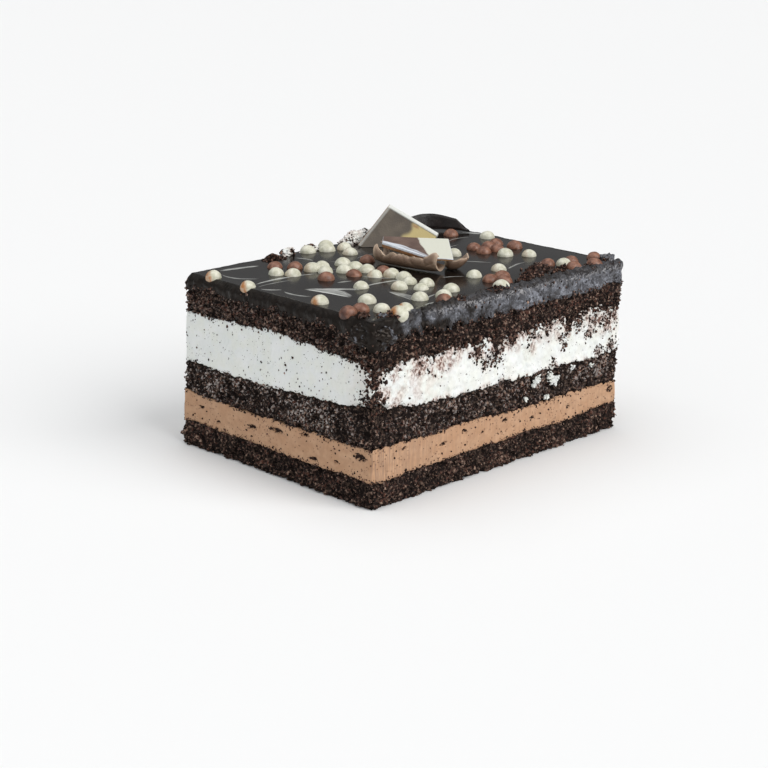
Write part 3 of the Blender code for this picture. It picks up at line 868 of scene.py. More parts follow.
# %% The white cream
def white_crag(points, share):
    """How far the white cream stands out: smooth at the sides, fluffy along the front."""
    fluff = 0.45 * noise_at(points, 3.2) + 0.35 * noise_at(points, 1.4) + 0.3 * cells_at(points, 1.8)
    calm = 0.10 * noise_at(points, 2.4)
    torn = np.maximum(front_face, near_corner(points, 12))
    gap = -2.0 * near_corner(points, 7) * (1 - ease(share, 0.02, 0.13))
    return (-0.35 + 0.45 * noise_at(points, 11) + fluff * torn + calm + gap) * MM


def white_paint(side, shares):
    """Where the white cream is torn and dirty: the upper part of the front, and the near corner."""
    front = np.tile(front_face, len(side) // COLUMNS)
    upper = ease(shares + 0.35 * noise_at(side, 6.5, 3), 0.45, 0.95)
    foot = 0.7 * (1 - ease(shares, 0.0, 0.14)) * ease(noise_at(side, 5.0, 7), -0.2, 0.3)
    near = 0.4 * (1 - ease(side[:, 0] / MM, -34, -18))
    dirty = front * (0.1 + 0.8 * upper + foot + near) + 0.9 * clumped(side) + 0.4 * near_corner(side, 9)
    return {"torn": np.clip(dirty, 0, 1)}


WHITE_ROWS = 34
sides["white_cream"] = add_layer(
    "whipped_white_cream", 3, WHITE_ROWS, white_crag, white_cream, "white_cream", white_paint
)

# %% [markdown]
# ## Glaze
# The glaze was poured: flat on top, rolled over at three sides, and cut through along the front, where it is
# thick and crumbly. A bevelled box would be too regular. The pile of rings goes on instead: up the side,
# over the rim, and in ever smaller rings across the top.

# %% The glaze's side
GLAZE_ROWS = 14
CREASE_X = -30.5  # where the front is folded in, in millimetres


def glaze_crag(points, share):
    """How far the glaze's side stands out: rolled at three sides, torn along the front."""
    x, y = points[:, 0], points[:, 1]
    front = np.clip(-y / (WIDTH / 2), 0, 1) ** 6
    slow = 0.45 * noise_at(points, 4.5) + 0.24 * noise_at(points, 1.7, 3)
    facets = 0.95 * noise_at(points, 3.6, 2) + 0.5 * cells_at(points, 4.2, 2) - 0.45 * np.sin(math.pi * share)
    near = 1 + 1.6 * (1 - ease(x / MM, -24, -2))
    torn = facets + near * (0.07 * ridged(points, 1.5) + 0.05 * ridged(points, 0.8)) - 0.1
    lumpy = (1 - front) * (0.26 * noise_at(points, 1.9, 12) + 0.13 * noise_at(points, 0.9, 14))
    rolled = -1.5 * np.maximum(0, share - 0.45) ** 2 / 0.3 * (1 - 0.6 * front)
    crease = -2.0 * np.exp(-(((x / MM - CREASE_X) / 1.1) ** 2)) * front
    return (0.2 + slow + lumpy + torn * front + rolled + 0.4 * near_corner(points, 8) + crease) * MM


side, _ = side_points(5, GLAZE_ROWS, glaze_crag)
print("the glaze's side has", len(side), "points")

# %% Its rim, which is ragged in front, and its flat top
RIM_RINGS = 6
RIM_REACH = 2.4 * MM
RIM_RIDGE = 1.1 * MM
TOP_SHARES = (1.0, 0.96, 0.9, 0.82, 0.74, 0.66, 0.58, 0.5, 0.42, 0.34, 0.26, 0.18, 0.1)


def top_height(points):
    """The height of the glaze's top, which is not quite level, at each point."""
    flat = np.column_stack([points[:, :2], np.zeros(len(points))])
    return GLAZE_TOP + 0.12 * MM * noise_at(flat, 16)


rings = [side]
last_ring = side[-COLUMNS:]
flat_edge = square * (HALF - RIM_REACH)
ragged = front_face * (0.45 + 0.55 * ridged(np.column_stack([rim, np.zeros(COLUMNS)]), 2.2, 4))
ragged *= 0.35 + 0.65 * ease(rim[:, 0] / MM, -33, -26)
for row in range(1, RIM_RINGS):
    share = row / RIM_RINGS
    ring = last_ring.copy()
    ring[:, :2] = last_ring[:, :2] * (1 - share) + flat_edge * share
    ridge = math.sin(math.pi * share) * np.clip(ragged, -0.2, 1)
    ring[:, 2] = top_height(ring) + ridge * RIM_RIDGE * (1 + 0.8 * noise_at(ring, 1.2))
    rings.append(ring)
for share in TOP_SHARES:
    ring = np.column_stack([flat_edge * share, np.zeros(COLUMNS)])
    ring[:, 2] = top_height(ring)
    rings.append(ring)
rings[-1][:, 2] = rings[-1][:, 2].mean()
print("its rim stands", round((max(ring[:, 2].max() for ring in rings) - GLAZE_TOP) / MM, 1), "mm up")

# %% Its underside, and all its faces
under = side[:COLUMNS].copy()
under[:, :2] *= LID_INSET
under[:, 2] = LEVELS[5] + SEAM
rows = GLAZE_ROWS + RIM_RINGS - 1 + len(TOP_SHARES)
last, below = rows * COLUMNS + RING, (rows + 1) * COLUMNS + RING
faces = ring_faces(rows).tolist() + band(below, RING).tolist() + [last.tolist(), below[::-1].tolist()]
skin = np.concatenate(rings + [under])
print(len(faces), "faces")

# %% [markdown]
# ## Bloom, painted sheen and crystals on the glaze
# The bloom, with its painted sheen, lies on the cut front alone. It starts behind the near corner, breaks up
# along the foot, leaves two folds dark as painted shade, and ends under the rim in a line of crystals. A noise
# texture knows nothing of corners and rims, but the mesh does: each point has its share of the height and its
# distance from the corner.

# %% Where the glaze is pale, crumbly or worn
row_share = np.concatenate([np.linspace(0, 1, GLAZE_ROWS + 1), np.ones(RIM_RINGS - 1 + len(TOP_SHARES)), [0]])
on_rim = np.concatenate([
    np.ones(GLAZE_ROWS + 1), np.linspace(0.9, 0.1, RIM_RINGS - 1), np.zeros(len(TOP_SHARES)), [0],
])
height_share, on_rim = np.repeat(row_share, COLUMNS), np.repeat(on_rim, COLUMNS)
facing_front = on_rim * np.tile(front_face, rows + 2)
x_mm = skin[:, 0] / MM
past_crease = x_mm - CREASE_X
# painted shade: the two folds get no bloom or sheen, so they stay dark
folds = 0.95 * np.exp(-((past_crease / 1.4) ** 2)) + 0.7 * np.exp(-(((past_crease - 4.5) / 0.9) ** 2))
from_corner = ease(x_mm + 2.5 * noise_at(skin, 2.5, 6), -39.5, -36) * (1 - folds)
low_down = 1 - ease(height_share, 0.0, 0.5)
far = ease(x_mm, -10, 6)
patches = 0.62 + 0.3 * far + (1.15 - 0.55 * far) * noise_at(skin, 3.8, 8) - (0.5 - 0.3 * far) * low_down
dark_rim = 1 - 0.7 * ease(height_share, 0.72, 0.95)
# bloom and painted sheen on the cut front
bloom = facing_front * from_corner * patches * dark_rim
crest = 0.75 * np.exp(-(((height_share - 0.8) / 0.12) ** 2)) * ease(x_mm, -32, -26)
crumbly = facing_front * crest * (0.75 + 0.7 * noise_at(skin, 2.5, 4))
add_piece(
    "poured_glaze", lean_back(skin), faces, glaze_coat, "glaze", "glaze",
    bloom=np.clip(bloom, 0, 1), crumbly=np.clip(crumbly, 0, 1), worn=0.45 * on_rim,
)
sides["glaze"] = lean_back(side)

# %% [markdown]
# ## White chocolate threads
# Threads of white chocolate were drawn over the wet glaze and sank until they lay almost flush. They could
# be painted on the glaze, but its points are too far apart for a sharp edge. So each is a strip of its
# own, a flat lens with pointed ends. A broad one is a thin wash with three streaks on it, because the glaze
# shows through where the chocolate was dragged thin.

# %% Where the threads lie
THREADS = (  # start, end, sideways bow, width, whiteness: in millimetres
    ((-41.5, 32.2), (-28.6, 29.0), 0.6, 2.6, 0.85),
    ((-42.9, 28.6), (-38.6, 16.4), -2.4, 0.9, 0.5),
    ((-45.0, 12.0), (-23.0, 10.2), 1.8, 1.1, 0.7),
    ((-45.8, 9.5), (-33.0, 8.9), 0.8, 0.8, 0.4),
    ((-46.2, 7.6), (-42.4, 2.4), -0.6, 1.1, 0.5),
    ((-43.4, 1.0), (-41.5, -8.4), -1.3, 1.0, 0.5),
    ((-38.2, -0.8), (-34.6, -15.2), 2.2, 5.2, 0.95),
    ((-36.9, -2.0), (-27.6, -11.6), 0.4, 2.6, 0.85),
    ((-29.0, -10.6), (-7.6, -13.0), 2.6, 1.0, 0.65),
    ((-24.0, -17.2), (-25.4, -28.6), 0.9, 2.8, 0.7),
    ((-24.8, -30.0), (-16.4, -27.0), 0.2, 0.8, 0.5),
    ((-27.6, -33.2), (-18.4, -34.0), 0.8, 0.8, 0.6),
    ((-13.6, -31.2), (-14.4, -35.2), 0.2, 1.0, 0.65),
    ((-27.3, -1.7), (-22.5, -3.0), 0.2, 1.0, 0.4),
    ((-17.0, -0.4), (-12.0, -7.9), -0.8, 0.7, 0.6),
    ((-2.6, -15.9), (3.0, -19.2), 0.3, 0.7, 0.5),
    ((15.8, -6.4), (20.8, -13.6), 0.5, 0.8, 0.5),
    ((17.9, -21.6), (28.4, -18.7), 0.7, 0.9, 0.55),
    ((17.7, -31.2), (19.1, -34.8), 0.2, 0.8, 0.4),
    ((43.8, 21.2), (46.9, 14.6), 0.4, 2.0, 0.6),
    ((-15.2, 30.2), (-13.6, 23.4), 0.3, 0.8, 0.45),
)
FAINT_THREADS = 13  # more on the far half, at random
BROAD_FROM = 2.4
SINGLE = ((0.0, 1.35, 1.0, 1.0),)
BROAD = (  # the wash and its streaks: how far aside, width, whiteness and lift, as shares of the thread's
    (0.0, 0.95, 0.6, 0.5), (-0.3, 0.3, 1.0, 1.2), (0.3, 0.26, 0.75, 1.2), (0.06, 0.2, 0.6, 1.4),
)
draw = random.Random(31)
strands = []
for start, end, bow, width, whiteness in THREADS:
    for aside, breadth, shade, lift in SINGLE if width < BROAD_FROM else BROAD:
        stray = 1.0 if aside else 0.0
        tip = (end[0] + draw.uniform(-stray, stray), end[1] + draw.uniform(-stray, stray))
        strands.append((start, tip, bow + aside * width, width * breadth, whiteness * shade, lift))
for _ in range(FAINT_THREADS):
    x, y, turn = draw.uniform(-24, 36), draw.uniform(-8, 26), draw.gauss(-0.35, 0.5)
    reach = draw.uniform(7, 15)
    end = (x + reach * math.cos(turn), min(y + reach * math.sin(turn), 31.0))
    bow, width, whiteness = draw.uniform(-3.0, 3.0), draw.uniform(0.4, 0.8), draw.uniform(0.3, 0.6)
    strands.append(((x, y), end, bow, width, whiteness, 1.0))
print(len(strands), "strands")

# %% The threads, as one piece
THREAD_STEPS = 40
ACROSS = np.array([-1.0, -0.62, -0.2, 0.2, 0.62, 1.0, 0.6, -0.6])
LIFT = np.array([-0.04, 0.012, 0.024, 0.024, 0.012, -0.04, -0.1, -0.1]) * MM
WHITE = np.array([0.0, 0.75, 1.0, 1.0, 0.75, 0.0, 0.0, 0.0])


def thread_points(start, end, bow, width, whiteness, lift, seed):
    """One thread as a flat lens: a ring of points at every step, and how white each point is."""
    shares = np.linspace(0, 1, THREAD_STEPS + 1)
    start, end = np.array(start), np.array(end)
    along = end - start
    aside = np.array([-along[1], along[0]]) / np.linalg.norm(along)
    middle = start + along * shares[:, None] + aside * (bow * 4 * shares * (1 - shares))[:, None]
    places = np.column_stack([middle, np.full(len(middle), seed)]) * MM
    middle += aside * 0.25 * noise_at(places, 4.0)[:, None]
    swell = np.sin(math.pi * (0.03 + 0.94 * shares)) ** 0.8
    breadth = width / 2 * swell * (1 + 0.5 * noise_at(places, 3.0, 5))
    flat = middle[:, None, :] + aside * (breadth[:, None] * ACROSS)[:, :, None]
    points = np.concatenate([flat * MM, np.zeros((len(shares), len(ACROSS), 1))], 2).reshape(-1, 3)
    points[:, 2] = top_height(points) + lift * np.tile(LIFT, len(shares))
    fade = np.clip(0.85 + 0.6 * noise_at(places, 2.6, 9), 0.3, 1)
    fade *= ease(np.minimum(shares, 1 - shares), 0, 0.15)
    return points, np.outer(whiteness * fade, WHITE).ravel()


points, faces, white = [], [], []
lens_ring = np.arange(len(ACROSS))
for number, strand in enumerate(strands):
    body, whiteness = thread_points(*strand, seed=number)
    first = number * len(body) + lens_ring
    last = first + THREAD_STEPS * len(ACROSS)
    for step in range(THREAD_STEPS):
        low = first + step * len(ACROSS)
        faces += band(low + len(ACROSS), low).tolist()
    faces += [first.tolist(), last[::-1].tolist()]
    points.append(body)
    white.append(whiteness)
points = np.concatenate(points)
nothing = np.zeros(len(points))
add_piece(
    "white_chocolate_threads", lean_back(points), faces, milk_thread, "ivory_chocolate", "glaze",
    milk=np.clip(np.concatenate(white), 0, 1), bloom=nothing, crumbly=nothing, worn=nothing,
)

# %% [markdown]
# ## Pearls
# Sugar pearls are crisp balls in a sugar coat. They were scattered by hand and sank halfway, so each stands
# a little differently and none is quite round. Instances would need one shape for all of them. Here the
# random draws are the solid's own, in the same order, which puts every ball where the solid has it.

# %% Handfuls of pearls, and what they keep clear of
PEARL = 4.5 * MM
PEARL_SEED = 3020
PEARL_SPACING = 0.93
PEARL_MARGIN = 1.6
FACING = math.radians(-45.25)
HANDFULS = (  # x, y, spread, white ones, brown ones: in millimetres
    (-46.8, 24.5, 0.0, 1, 0), (-46.9, 10.6, 0.0, 1, 0), (-31.2, 13.5, 3.2, 2, 0), (-26.0, 21.5, 4.4, 0, 2),
    (-7.8, 30.2, 0.0, 1, 0), (-0.4, 27.6, 4.0, 3, 0), (-0.7, 20.5, 0.0, 1, 0), (-19.3, 9.8, 4.8, 4, 0),
    (-12.1, 9.8, 3.0, 2, 0), (-26.5, 3.0, 0.0, 0, 1), (-13.4, 1.0, 5.0, 2, 2), (-11.3, -7.8, 3.0, 2, 0),
    (-26.1, -9.6, 0.0, 1, 0), (-15.8, -18.2, 4.6, 4, 0), (-8.5, -19.6, 0.0, 0, 1), (-11.3, -27.5, 0.0, 1, 0),
    (-21.8, -29.9, 4.6, 2, 1), (-35.4, -21.3, 0.0, 1, 0), (-37.4, -33.2, 3.8, 3, 0), (-44.8, -14.1, 0.0, 1, 0),
    (-45.6, -26.4, 2.8, 0, 2), (20.0, 0.2, 0.0, 1, 0), (34.6, -1.4, 6.4, 0, 7), (32.3, -12.0, 4.0, 2, 0),
    (44.0, 9.2, 0.0, 1, 0), (38.6, 18.6, 0.0, 0, 1), (4.8, -20.9, 0.0, 1, 0), (15.1, -20.6, 0.0, 1, 0),
    (5.9, -28.6, 3.2, 0, 3), (0.8, -34.0, 0.0, 1, 0), (31.4, -26.6, 2.6, 1, 1), (36.0, -32.0, 4.8, 0, 6),
    (45.6, -29.0, 0.0, 0, 1), (22.4, 29.2, 3.8, 2, 1),
)


def to_block(right, away):
    """The place on the block of a point given in the decorations' own directions, in millimetres."""
    ahead, aside = math.cos(FACING), math.sin(FACING)
    return right * ahead - away * aside, right * aside + away * ahead


zones = [(-12.0 + 5.5 * step, 24.6 + 1.2 * step, 4.7) for step in range(5)]  # under the plaque
zones += [(-6.6 + 3.8 * step, 3.4 - 2.7 * step, 6.4) for step in range(5)]  # under the curl
zones += [(13.5, -5.2, 6.0), (13.5, 0.6, 6.0), (7.0, 2.5, 5.5)]  # under its tail and the shard
zones += [(0.5 + 4.4 * step, 46.0, 3.8) for step in range(5)]  # under the petal
zones = [(*to_block(right, away), reach) for right, away, reach in zones]
print(len(HANDFULS), "handfuls,", len(zones), "zones without pearls")

# %% Where each pearl lies
TRIES = 40


def scatter_pearls():
    """(x, y, height above the glaze, diameter, is it white) of each pearl."""
    draw = random.Random(PEARL_SEED)
    end, front = LENGTH / 2 - PEARL_MARGIN * MM, PEARL_MARGIN * MM - WIDTH / 2
    back = WIDTH / 2 * (1 - BACK_LEAN) - PEARL_MARGIN * MM
    placed = []
    for x, y, spread, white, brown in HANDFULS:
        for ball in range(white + brown):
            for _ in range(TRIES):
                turn = draw.uniform(0, 2 * math.pi)
                throw = spread * math.sqrt(draw.random())
                px = (x + throw * math.cos(turn)) * MM
                py = (y + throw * math.sin(turn)) * MM
                size = PEARL * draw.uniform(0.92, 1.06)
                inside = abs(px) < end and front < py < back
                apart = all(math.hypot(px - q[0], py - q[1]) > PEARL_SPACING * PEARL for q in placed)
                clear = all(math.hypot(px - zx * MM, py - zy * MM) > r * MM for zx, zy, r in zones)
                if inside and apart and clear:
                    placed.append((px, py, draw.uniform(-0.05, 0.3) * PEARL / 2, size, ball < white))
                    break
    return placed


pearls = scatter_pearls()
print(len(pearls), "pearls")

# %% The pearls, as one piece of each colour
SUNK = 0.5  # the share of a pearl's random rise that is left after it sank
SETTLED = 0.07 * PEARL
FLATTENED = 0.94
SHADED_PEARL = (-3.4 * MM, 11.0 * MM, 0.0, PEARL, False)  # one more, in the plaque's shade


def ball_mesh(subdivisions):
    """Points and triangles of a ball of radius 1."""
    bm = bmesh.new()
    bmesh.ops.create_icosphere(bm, subdivisions=subdivisions, radius=1.0)
    points = np.array([vert.co for vert in bm.verts])
    faces = np.array([[vert.index for vert in face.verts] for face in bm.faces])
    bm.free()
    return points, faces


def add_pearls(name, pearls, material, slot):
    """All the pearls of one colour, each a little out of round."""
    draw = random.Random(PEARL_SEED + 2)
    ball, ball_faces = ball_mesh(3)
    points, faces, stains = [], [], []
    for number, (x, y, rise_up, size, _) in enumerate(pearls):
        dents = noise_at(ball * MM + number * 0.01, 1.1) + 0.4 * noise_at(ball * MM + number * 0.01, 0.45)
        body = ball * (1 + 0.055 * dents)[:, None] * size / 2
        turn = np.array(Matrix.Rotation(draw.uniform(0, math.tau), 3, "Z"))
        body = body @ turn.T * np.array([1, 1, FLATTENED])
        left = (body[:, 1] - body[:, 0]) / size * 1.41 - 0.4 * body[:, 2] / size
        near_rim = min(HALF[0] - abs(x), HALF[1] - abs(y)) < 4.5 * MM and x < 0
        points.append(body + np.array([x, y, GLAZE_TOP + SUNK * rise_up - SETTLED]))
        faces.append(ball_faces + number * len(ball))
        stains.append(ease(left, 0.0, 0.3) * (1.0 if near_rim else draw.choice((0.0, 0.0, 0.0, 0.3))))
    points, faces, stain = (np.concatenate(parts) for parts in (points, faces, stains))
    add_piece(name, points, faces, material, slot, "glaze", stain=stain)


add_pearls("white_pearls", [pearl for pearl in pearls if pearl[4]], white_pearl, "ivory_chocolate")
brown_ones = [pearl for pearl in pearls if not pearl[4]] + [SHADED_PEARL]
add_pearls("brown_pearls", brown_ones, brown_pearl, "milk_chocolate")

# %% [markdown]
# ## Lumps on the rim
# Where the knife dragged the glaze over the rim it left lumps: some hang at the near corner, others lie along
# the front, among lumps of sponge. The mound at the back is sponge and cream crushed together. They could be
# sculpted, but a ball that noise pulls out of shape, with the knobs of the sponge on it, looks as chance
# would have it.

# %% The lumps' places, and their shape
GLAZE_LUMPS = (  # x, y, height above the glaze, length, width, height: in millimetres
    (-45.2, -33.2, -4.2, 10.4, 10.4, 8.2), (32.5, -35.0, -0.6, 5.0, 3.0, 3.2),
    (45.4, -33.8, 0.0, 3.8, 5.0, 4.6), (-42.0, -34.3, -1.5, 7.0, 3.6, 4.0),
    (-46.0, -29.5, -1.6, 3.4, 5.0, 4.0), (-34.0, -35.0, -1.4, 6.0, 2.8, 3.6),
)
SPONGE_LUMPS = (
    (24.5, -26.5, -0.2, 6.4, 4.4, 3.2), (18.5, -31.0, -0.5, 6.0, 4.4, 3.0),
    (-20.5, 34.0, -0.4, 6.0, 2.6, 3.2),
)
CREAM_LUMPS = (
    (12.0, 33.4, 0.4, 14.0, 5.0, 6.0), (-6.5, 34.0, 0.2, 6.5, 3.2, 3.0), (-14.5, 34.2, 0.5, 4.6, 2.8, 3.2),
)


def lump_points(lump, ball):
    """The points of one uneven lump."""
    x, y, up, length, width, height = lump
    places = ball * MM * 0.5
    waves = ((0.26, 0.33), (0.12, 0.12), (0.05, 0.05))
    bumps = sum(share * noise_at(places, size, x) for share, size in waves)
    points = ball * 0.5 * (1 + bumps)[:, None] * np.array([length, width, height]) * MM
    return lean_back(points + np.array([x * MM, y * MM, GLAZE_TOP + up * MM]))


def add_lumps(name, lumps, material, slot, craggy, paint):
    """Several lumps as one piece, with knobs of the given height in millimetres."""
    ball, ball_faces = ball_mesh(5)
    points = np.concatenate([lump_points(lump, ball) for lump in lumps])
    faces = np.concatenate([ball_faces + number * len(ball) for number in range(len(lumps))])
    middles = np.array([lump[:3] for lump in lumps]) * MM + np.array([0, 0, GLAZE_TOP])
    away = points - np.repeat(middles, len(ball), axis=0)
    away /= np.linalg.norm(away, axis=1)[:, None]
    knobs = cells_at(points, 1.2) + 0.5 * cells_at(points, 0.7, 3) - 0.6
    points = points + away * (knobs * craggy * MM)[:, None]
    add_piece(name, points, faces, material, slot, "glaze", **paint(points, knobs))
    return points


# %% The lumps, as one piece of each kind
def glaze_lump_paint(points, knobs):
    """Bloom and crystals on the lumps of the front's far half, only painted glints and lit side on the near
    corner's.
    """
    x = points[:, 0] / MM
    far = ease(x, -37.5, -34)
    # painted highlight: the lit side of the near-corner lump, in the pale bloom colour
    lit_side = ease(x, -44.6, -43.4) * (1 - ease(x, -41.8, -41.0))
    lit = lit_side * ease(noise_at(points, 1.5, 2), -0.35, 0.05)
    glints = np.maximum(0.8 * ease(noise_at(points, 1.0), 0.46, 0.52), lit)
    return {
        "bloom": np.clip(far * (0.5 + 0.5 * noise_at(points, 2.5)) + glints, 0, 1),
        "crumbly": far * 0.4 * ease(noise_at(points, 1.8), 0.1, 0.6),
        "worn": np.full(len(points), 0.12),
    }


def cream_lump_paint(points, knobs):
    """Crushed cream is dirty all over."""
    return {"torn": 0.5 + 0.4 * noise_at(points, 3.0)}


def sponge_lump_paint(points, knobs):
    """Crumbs of sponge pressed together: the knobs stand proud."""
    return {"proud": ease(knobs, -0.5, 0.5), "dust_and_glint": np.full(len(points), 0.1)}


add_lumps("glaze_lumps", GLAZE_LUMPS, glaze_coat, "glaze", 0.25, glaze_lump_paint)
add_lumps("sponge_lumps", SPONGE_LUMPS, loose_sponge, "dark_sponge", 0.7, sponge_lump_paint)
mound = add_lumps("crushed_cream", CREAM_LUMPS, white_cream, "white_cream", 0.55, cream_lump_paint)

# %% [markdown]
# ## Crumbs
# Crumbs are what makes a cut cake look real. Each is a chip with a few flat sides, turned at random. A
# particle system could scatter them, but a joined mesh is the same in every program. Where they fall
# follows a rule for each surface, which gives every point of it a chance.

# %% Chips of any size, joined into one mesh
chip, chip_faces = ball_mesh(1)


def random_turns(draw, count):
    """Random rotations, as an array of matrices."""
    axes = draw.normal(size=(count, 4))
    w, x, y, z = (axes / np.linalg.norm(axes, axis=1)[:, None]).T
    return np.stack([
        np.stack([1 - 2 * (y * y + z * z), 2 * (x * y - z * w), 2 * (x * z + y * w)], 1),
        np.stack([2 * (x * y + z * w), 1 - 2 * (x * x + z * z), 2 * (y * z - x * w)], 1),
        np.stack([2 * (x * z - y * w), 2 * (y * z + x * w), 1 - 2 * (x * x + y * y)], 1),
    ], 1)


def add_chips(name, centres, sizes, material, slot, node_name, seed, **attributes):
    """A crumb at every centre, sizes in millimetres across, all in one mesh."""
    draw = np.random.default_rng(seed)
    count = len(centres)
    stretch = draw.uniform(0.55, 1.25, (count, 1, 3))
    knocks = 1 + draw.uniform(-0.28, 0.28, (count, len(chip), 1))
    bodies = chip[None] * knocks * stretch * (np.asarray(sizes) * MM / 2)[:, None, None]
    bodies = np.einsum("nij,nkj->nki", random_turns(draw, count), bodies) + np.asarray(centres)[:, None, :]
    faces = (chip_faces[None] + (np.arange(count) * len(chip))[:, None, None]).reshape(-1, 3)
    if "proud" in attributes:
        attributes["dust_and_glint"] = dust_and_glints(np.asarray(centres))
    values = {label: np.repeat(value, len(chip)) for label, value in attributes.items()}
    add_piece(name, bodies.reshape(-1, 3), faces, material, slot, node_name, sharp=40, **values)


# %% [markdown]
# ## Crumbs on the sponges
# A sponge sheds crumbs all over its own side. Points of the torn wall are picked evenly, and each crumb is
# set a little in or out of it, so that some are half buried.

# %% Crumbs on the sponges
def pick_sides(draw, name, count, weight=None):
    """Random points of a layer's side, as (points, outward directions, shares of the height)."""
    side = sides[name]
    rows = len(side) // COLUMNS
    columns, shares = np.tile(RING, rows), np.repeat(np.linspace(0, 1, rows), COLUMNS)
    chance = np.ones(len(side)) if weight is None else weight(side, columns, shares)
    chosen = draw.choice(len(side), count, replace=False, p=chance / chance.sum())
    facing = np.column_stack([outward[columns[chosen]], np.zeros(count)])
    return side[chosen], facing, shares[chosen]


CRUMBS_PER_SPONGE = 5000
draw = np.random.default_rng(11)
for name in ("bottom_sponge", "middle_sponge", "top_sponge"):
    count = CRUMBS_PER_SPONGE
    spots, facing, _ = pick_sides(draw, name, count)
    sizes = 0.3 + 0.6 * draw.random(count) ** 2
    spots = spots + facing * (draw.uniform(-0.2, 0.15, count) * MM)[:, None]
    spots += draw.normal(0, 0.1, (count, 3)) * MM
    spots[:, 2] = np.maximum(spots[:, 2], sizes * 0.6 * MM)
    proud = draw.random(count)
    add_chips(f"crumbs_of_{name}", spots, sizes, dark_sponge, "dark_sponge", name, 21, proud=proud)

# %% [markdown]
# ## Crumbs caught in the white cream
# They lie thick next to the two sponges, in the clumps, and on the upper part of the torn front, and thin
# elsewhere. At the near corner they leave the middle of the cream bare. The rule is a sum of these shares.

# %% Crumbs caught in the white cream
def on_white(side, columns, shares):
    """Crumbs are thick near the sponges, in the clumps and on the upper part of the torn front."""
    front = front_face[columns]
    edges = 0.035 - 0.024 * front + 0.5 * ease(shares, 0.86, 1.0) ** 2 + 0.3 * (1 - ease(shares, 0.0, 0.08))
    corner = near_corner(side, 3.2) * (ease(np.abs(shares - 0.6), 0.12, 0.3) + 0.05)
    broken = near_corner(side, 2.4) * (1 - ease(np.abs(shares - 0.66), 0.05, 0.1))
    strewn = ease(noise_at(side, 1.8, 6), 0.15, 0.5) * ease(shares + 0.3 * noise_at(side, 7, 3), 0.55, 0.95)
    return edges + 0.9 * front * strewn + 2.6 * clumped(side) + 1.6 * corner + 2.0 * broken


CRUMBS_ON_WHITE = 3300
spots, facing, shares = pick_sides(draw, "white_cream", CRUMBS_ON_WHITE, on_white)
in_front = -facing[:, 1] > 0.7
sizes = 0.2 + np.where(in_front, 0.75, 0.6) * draw.random(len(spots)) ** np.where(in_front, 2.2, 4.5)
sizes += 0.3 * ease(shares, 0.93, 1.0) + 0.4 * near_corner(spots, 5)
spots = spots + facing * (draw.uniform(-0.12, 0.08, len(spots)) * MM)[:, None]
proud = draw.random(len(spots))
add_chips("crumbs_on_white_cream", spots, sizes, loose_sponge, "dark_sponge", "white_cream", 22, proud=proud)

# %% [markdown]
# ## Crumbs on the mocha cream and on the glaze's side
# The mocha cream was cut cleaner: its few crumbs cling near the two sponges. Those on the glaze cling to its
# foot, where the top sponge tore away from it, and reach up in patches.

# %% Crumbs on the mocha cream and on the glaze's side
def on_mocha(side, columns, shares):
    """Crumbs on the mocha cream cling near the two sponges."""
    return 0.05 + ease(shares, 0.82, 1.0) ** 2 + (1 - ease(shares, 0.0, 0.2)) ** 2


def on_glaze_side(side, columns, shares):
    """Sponge crumbs cling to the foot of the glaze, and to its whole torn front."""
    patches = ease(noise_at(side, 3.5, 5), -0.1, 0.4)
    foot = 1 - ease(shares, 0.0, 0.3 + 0.55 * patches * (1 - front_face[columns]))
    return foot**2 * (0.4 + 1.6 * patches) + 0.03 * front_face[columns]


for name, where, count, rule, smallest, growth, crumb, seed in (
    ("crumbs_on_mocha_cream", "mocha_cream", 1700, on_mocha, 0.22, 0.55, loose_sponge, 23),
    ("crumbs_on_glaze_side", "glaze", 1300, on_glaze_side, 0.3, 0.6, dark_sponge, 27),
):
    spots, _, _ = pick_sides(draw, where, count, rule)
    sizes = smallest + growth * draw.random(count) ** 2
    add_chips(name, spots, sizes, crumb, "dark_sponge", where, seed, proud=draw.random(count))

# %% [markdown]
# ## Dabs of cream
# The knife dragged some white cream down over the middle sponge. Each dab is a knot of bits the size of a
# crumb, thrown round a point that is listed.

# %% Dabs of white cream on the middle sponge
FRONT_FACE_Y = -37.1
DABS = (  # x, height, spread, bits: in millimetres
    (20.0, 19.8, 0.85, 90), (18.4, 21.4, 0.5, 34), (12.9, 21.2, 0.65, 60), (11.6, 20.0, 0.4, 22),
    (8.6, 16.9, 0.35, 20), (17.4, 15.8, 0.35, 16), (28.0, 21.6, 0.4, 16), (36.5, 20.8, 0.35, 12),
)
centres = np.concatenate([
    draw.normal((x, FRONT_FACE_Y, height), (spread, 0.22, spread * 0.8), (bits, 3))
    for x, height, spread, bits in DABS
]) * MM
centres[:, 1] = np.maximum(centres[:, 1], (FRONT_FACE_Y - 0.4) * MM)
sizes = 0.3 + 0.7 * draw.random(len(centres)) ** 1.5
clean = np.zeros(len(centres))
add_chips("dabs_of_white_cream", centres, sizes, white_cream, "white_cream", "middle_sponge", 24, torn=clean)

# %% [markdown]
# ## Crumbs on top
# On the glaze, crumbs lie in piles along the front where the knife went in, thinner to the back, and never
# on a pearl. Those that cling to the crushed cream are picked from its own points.

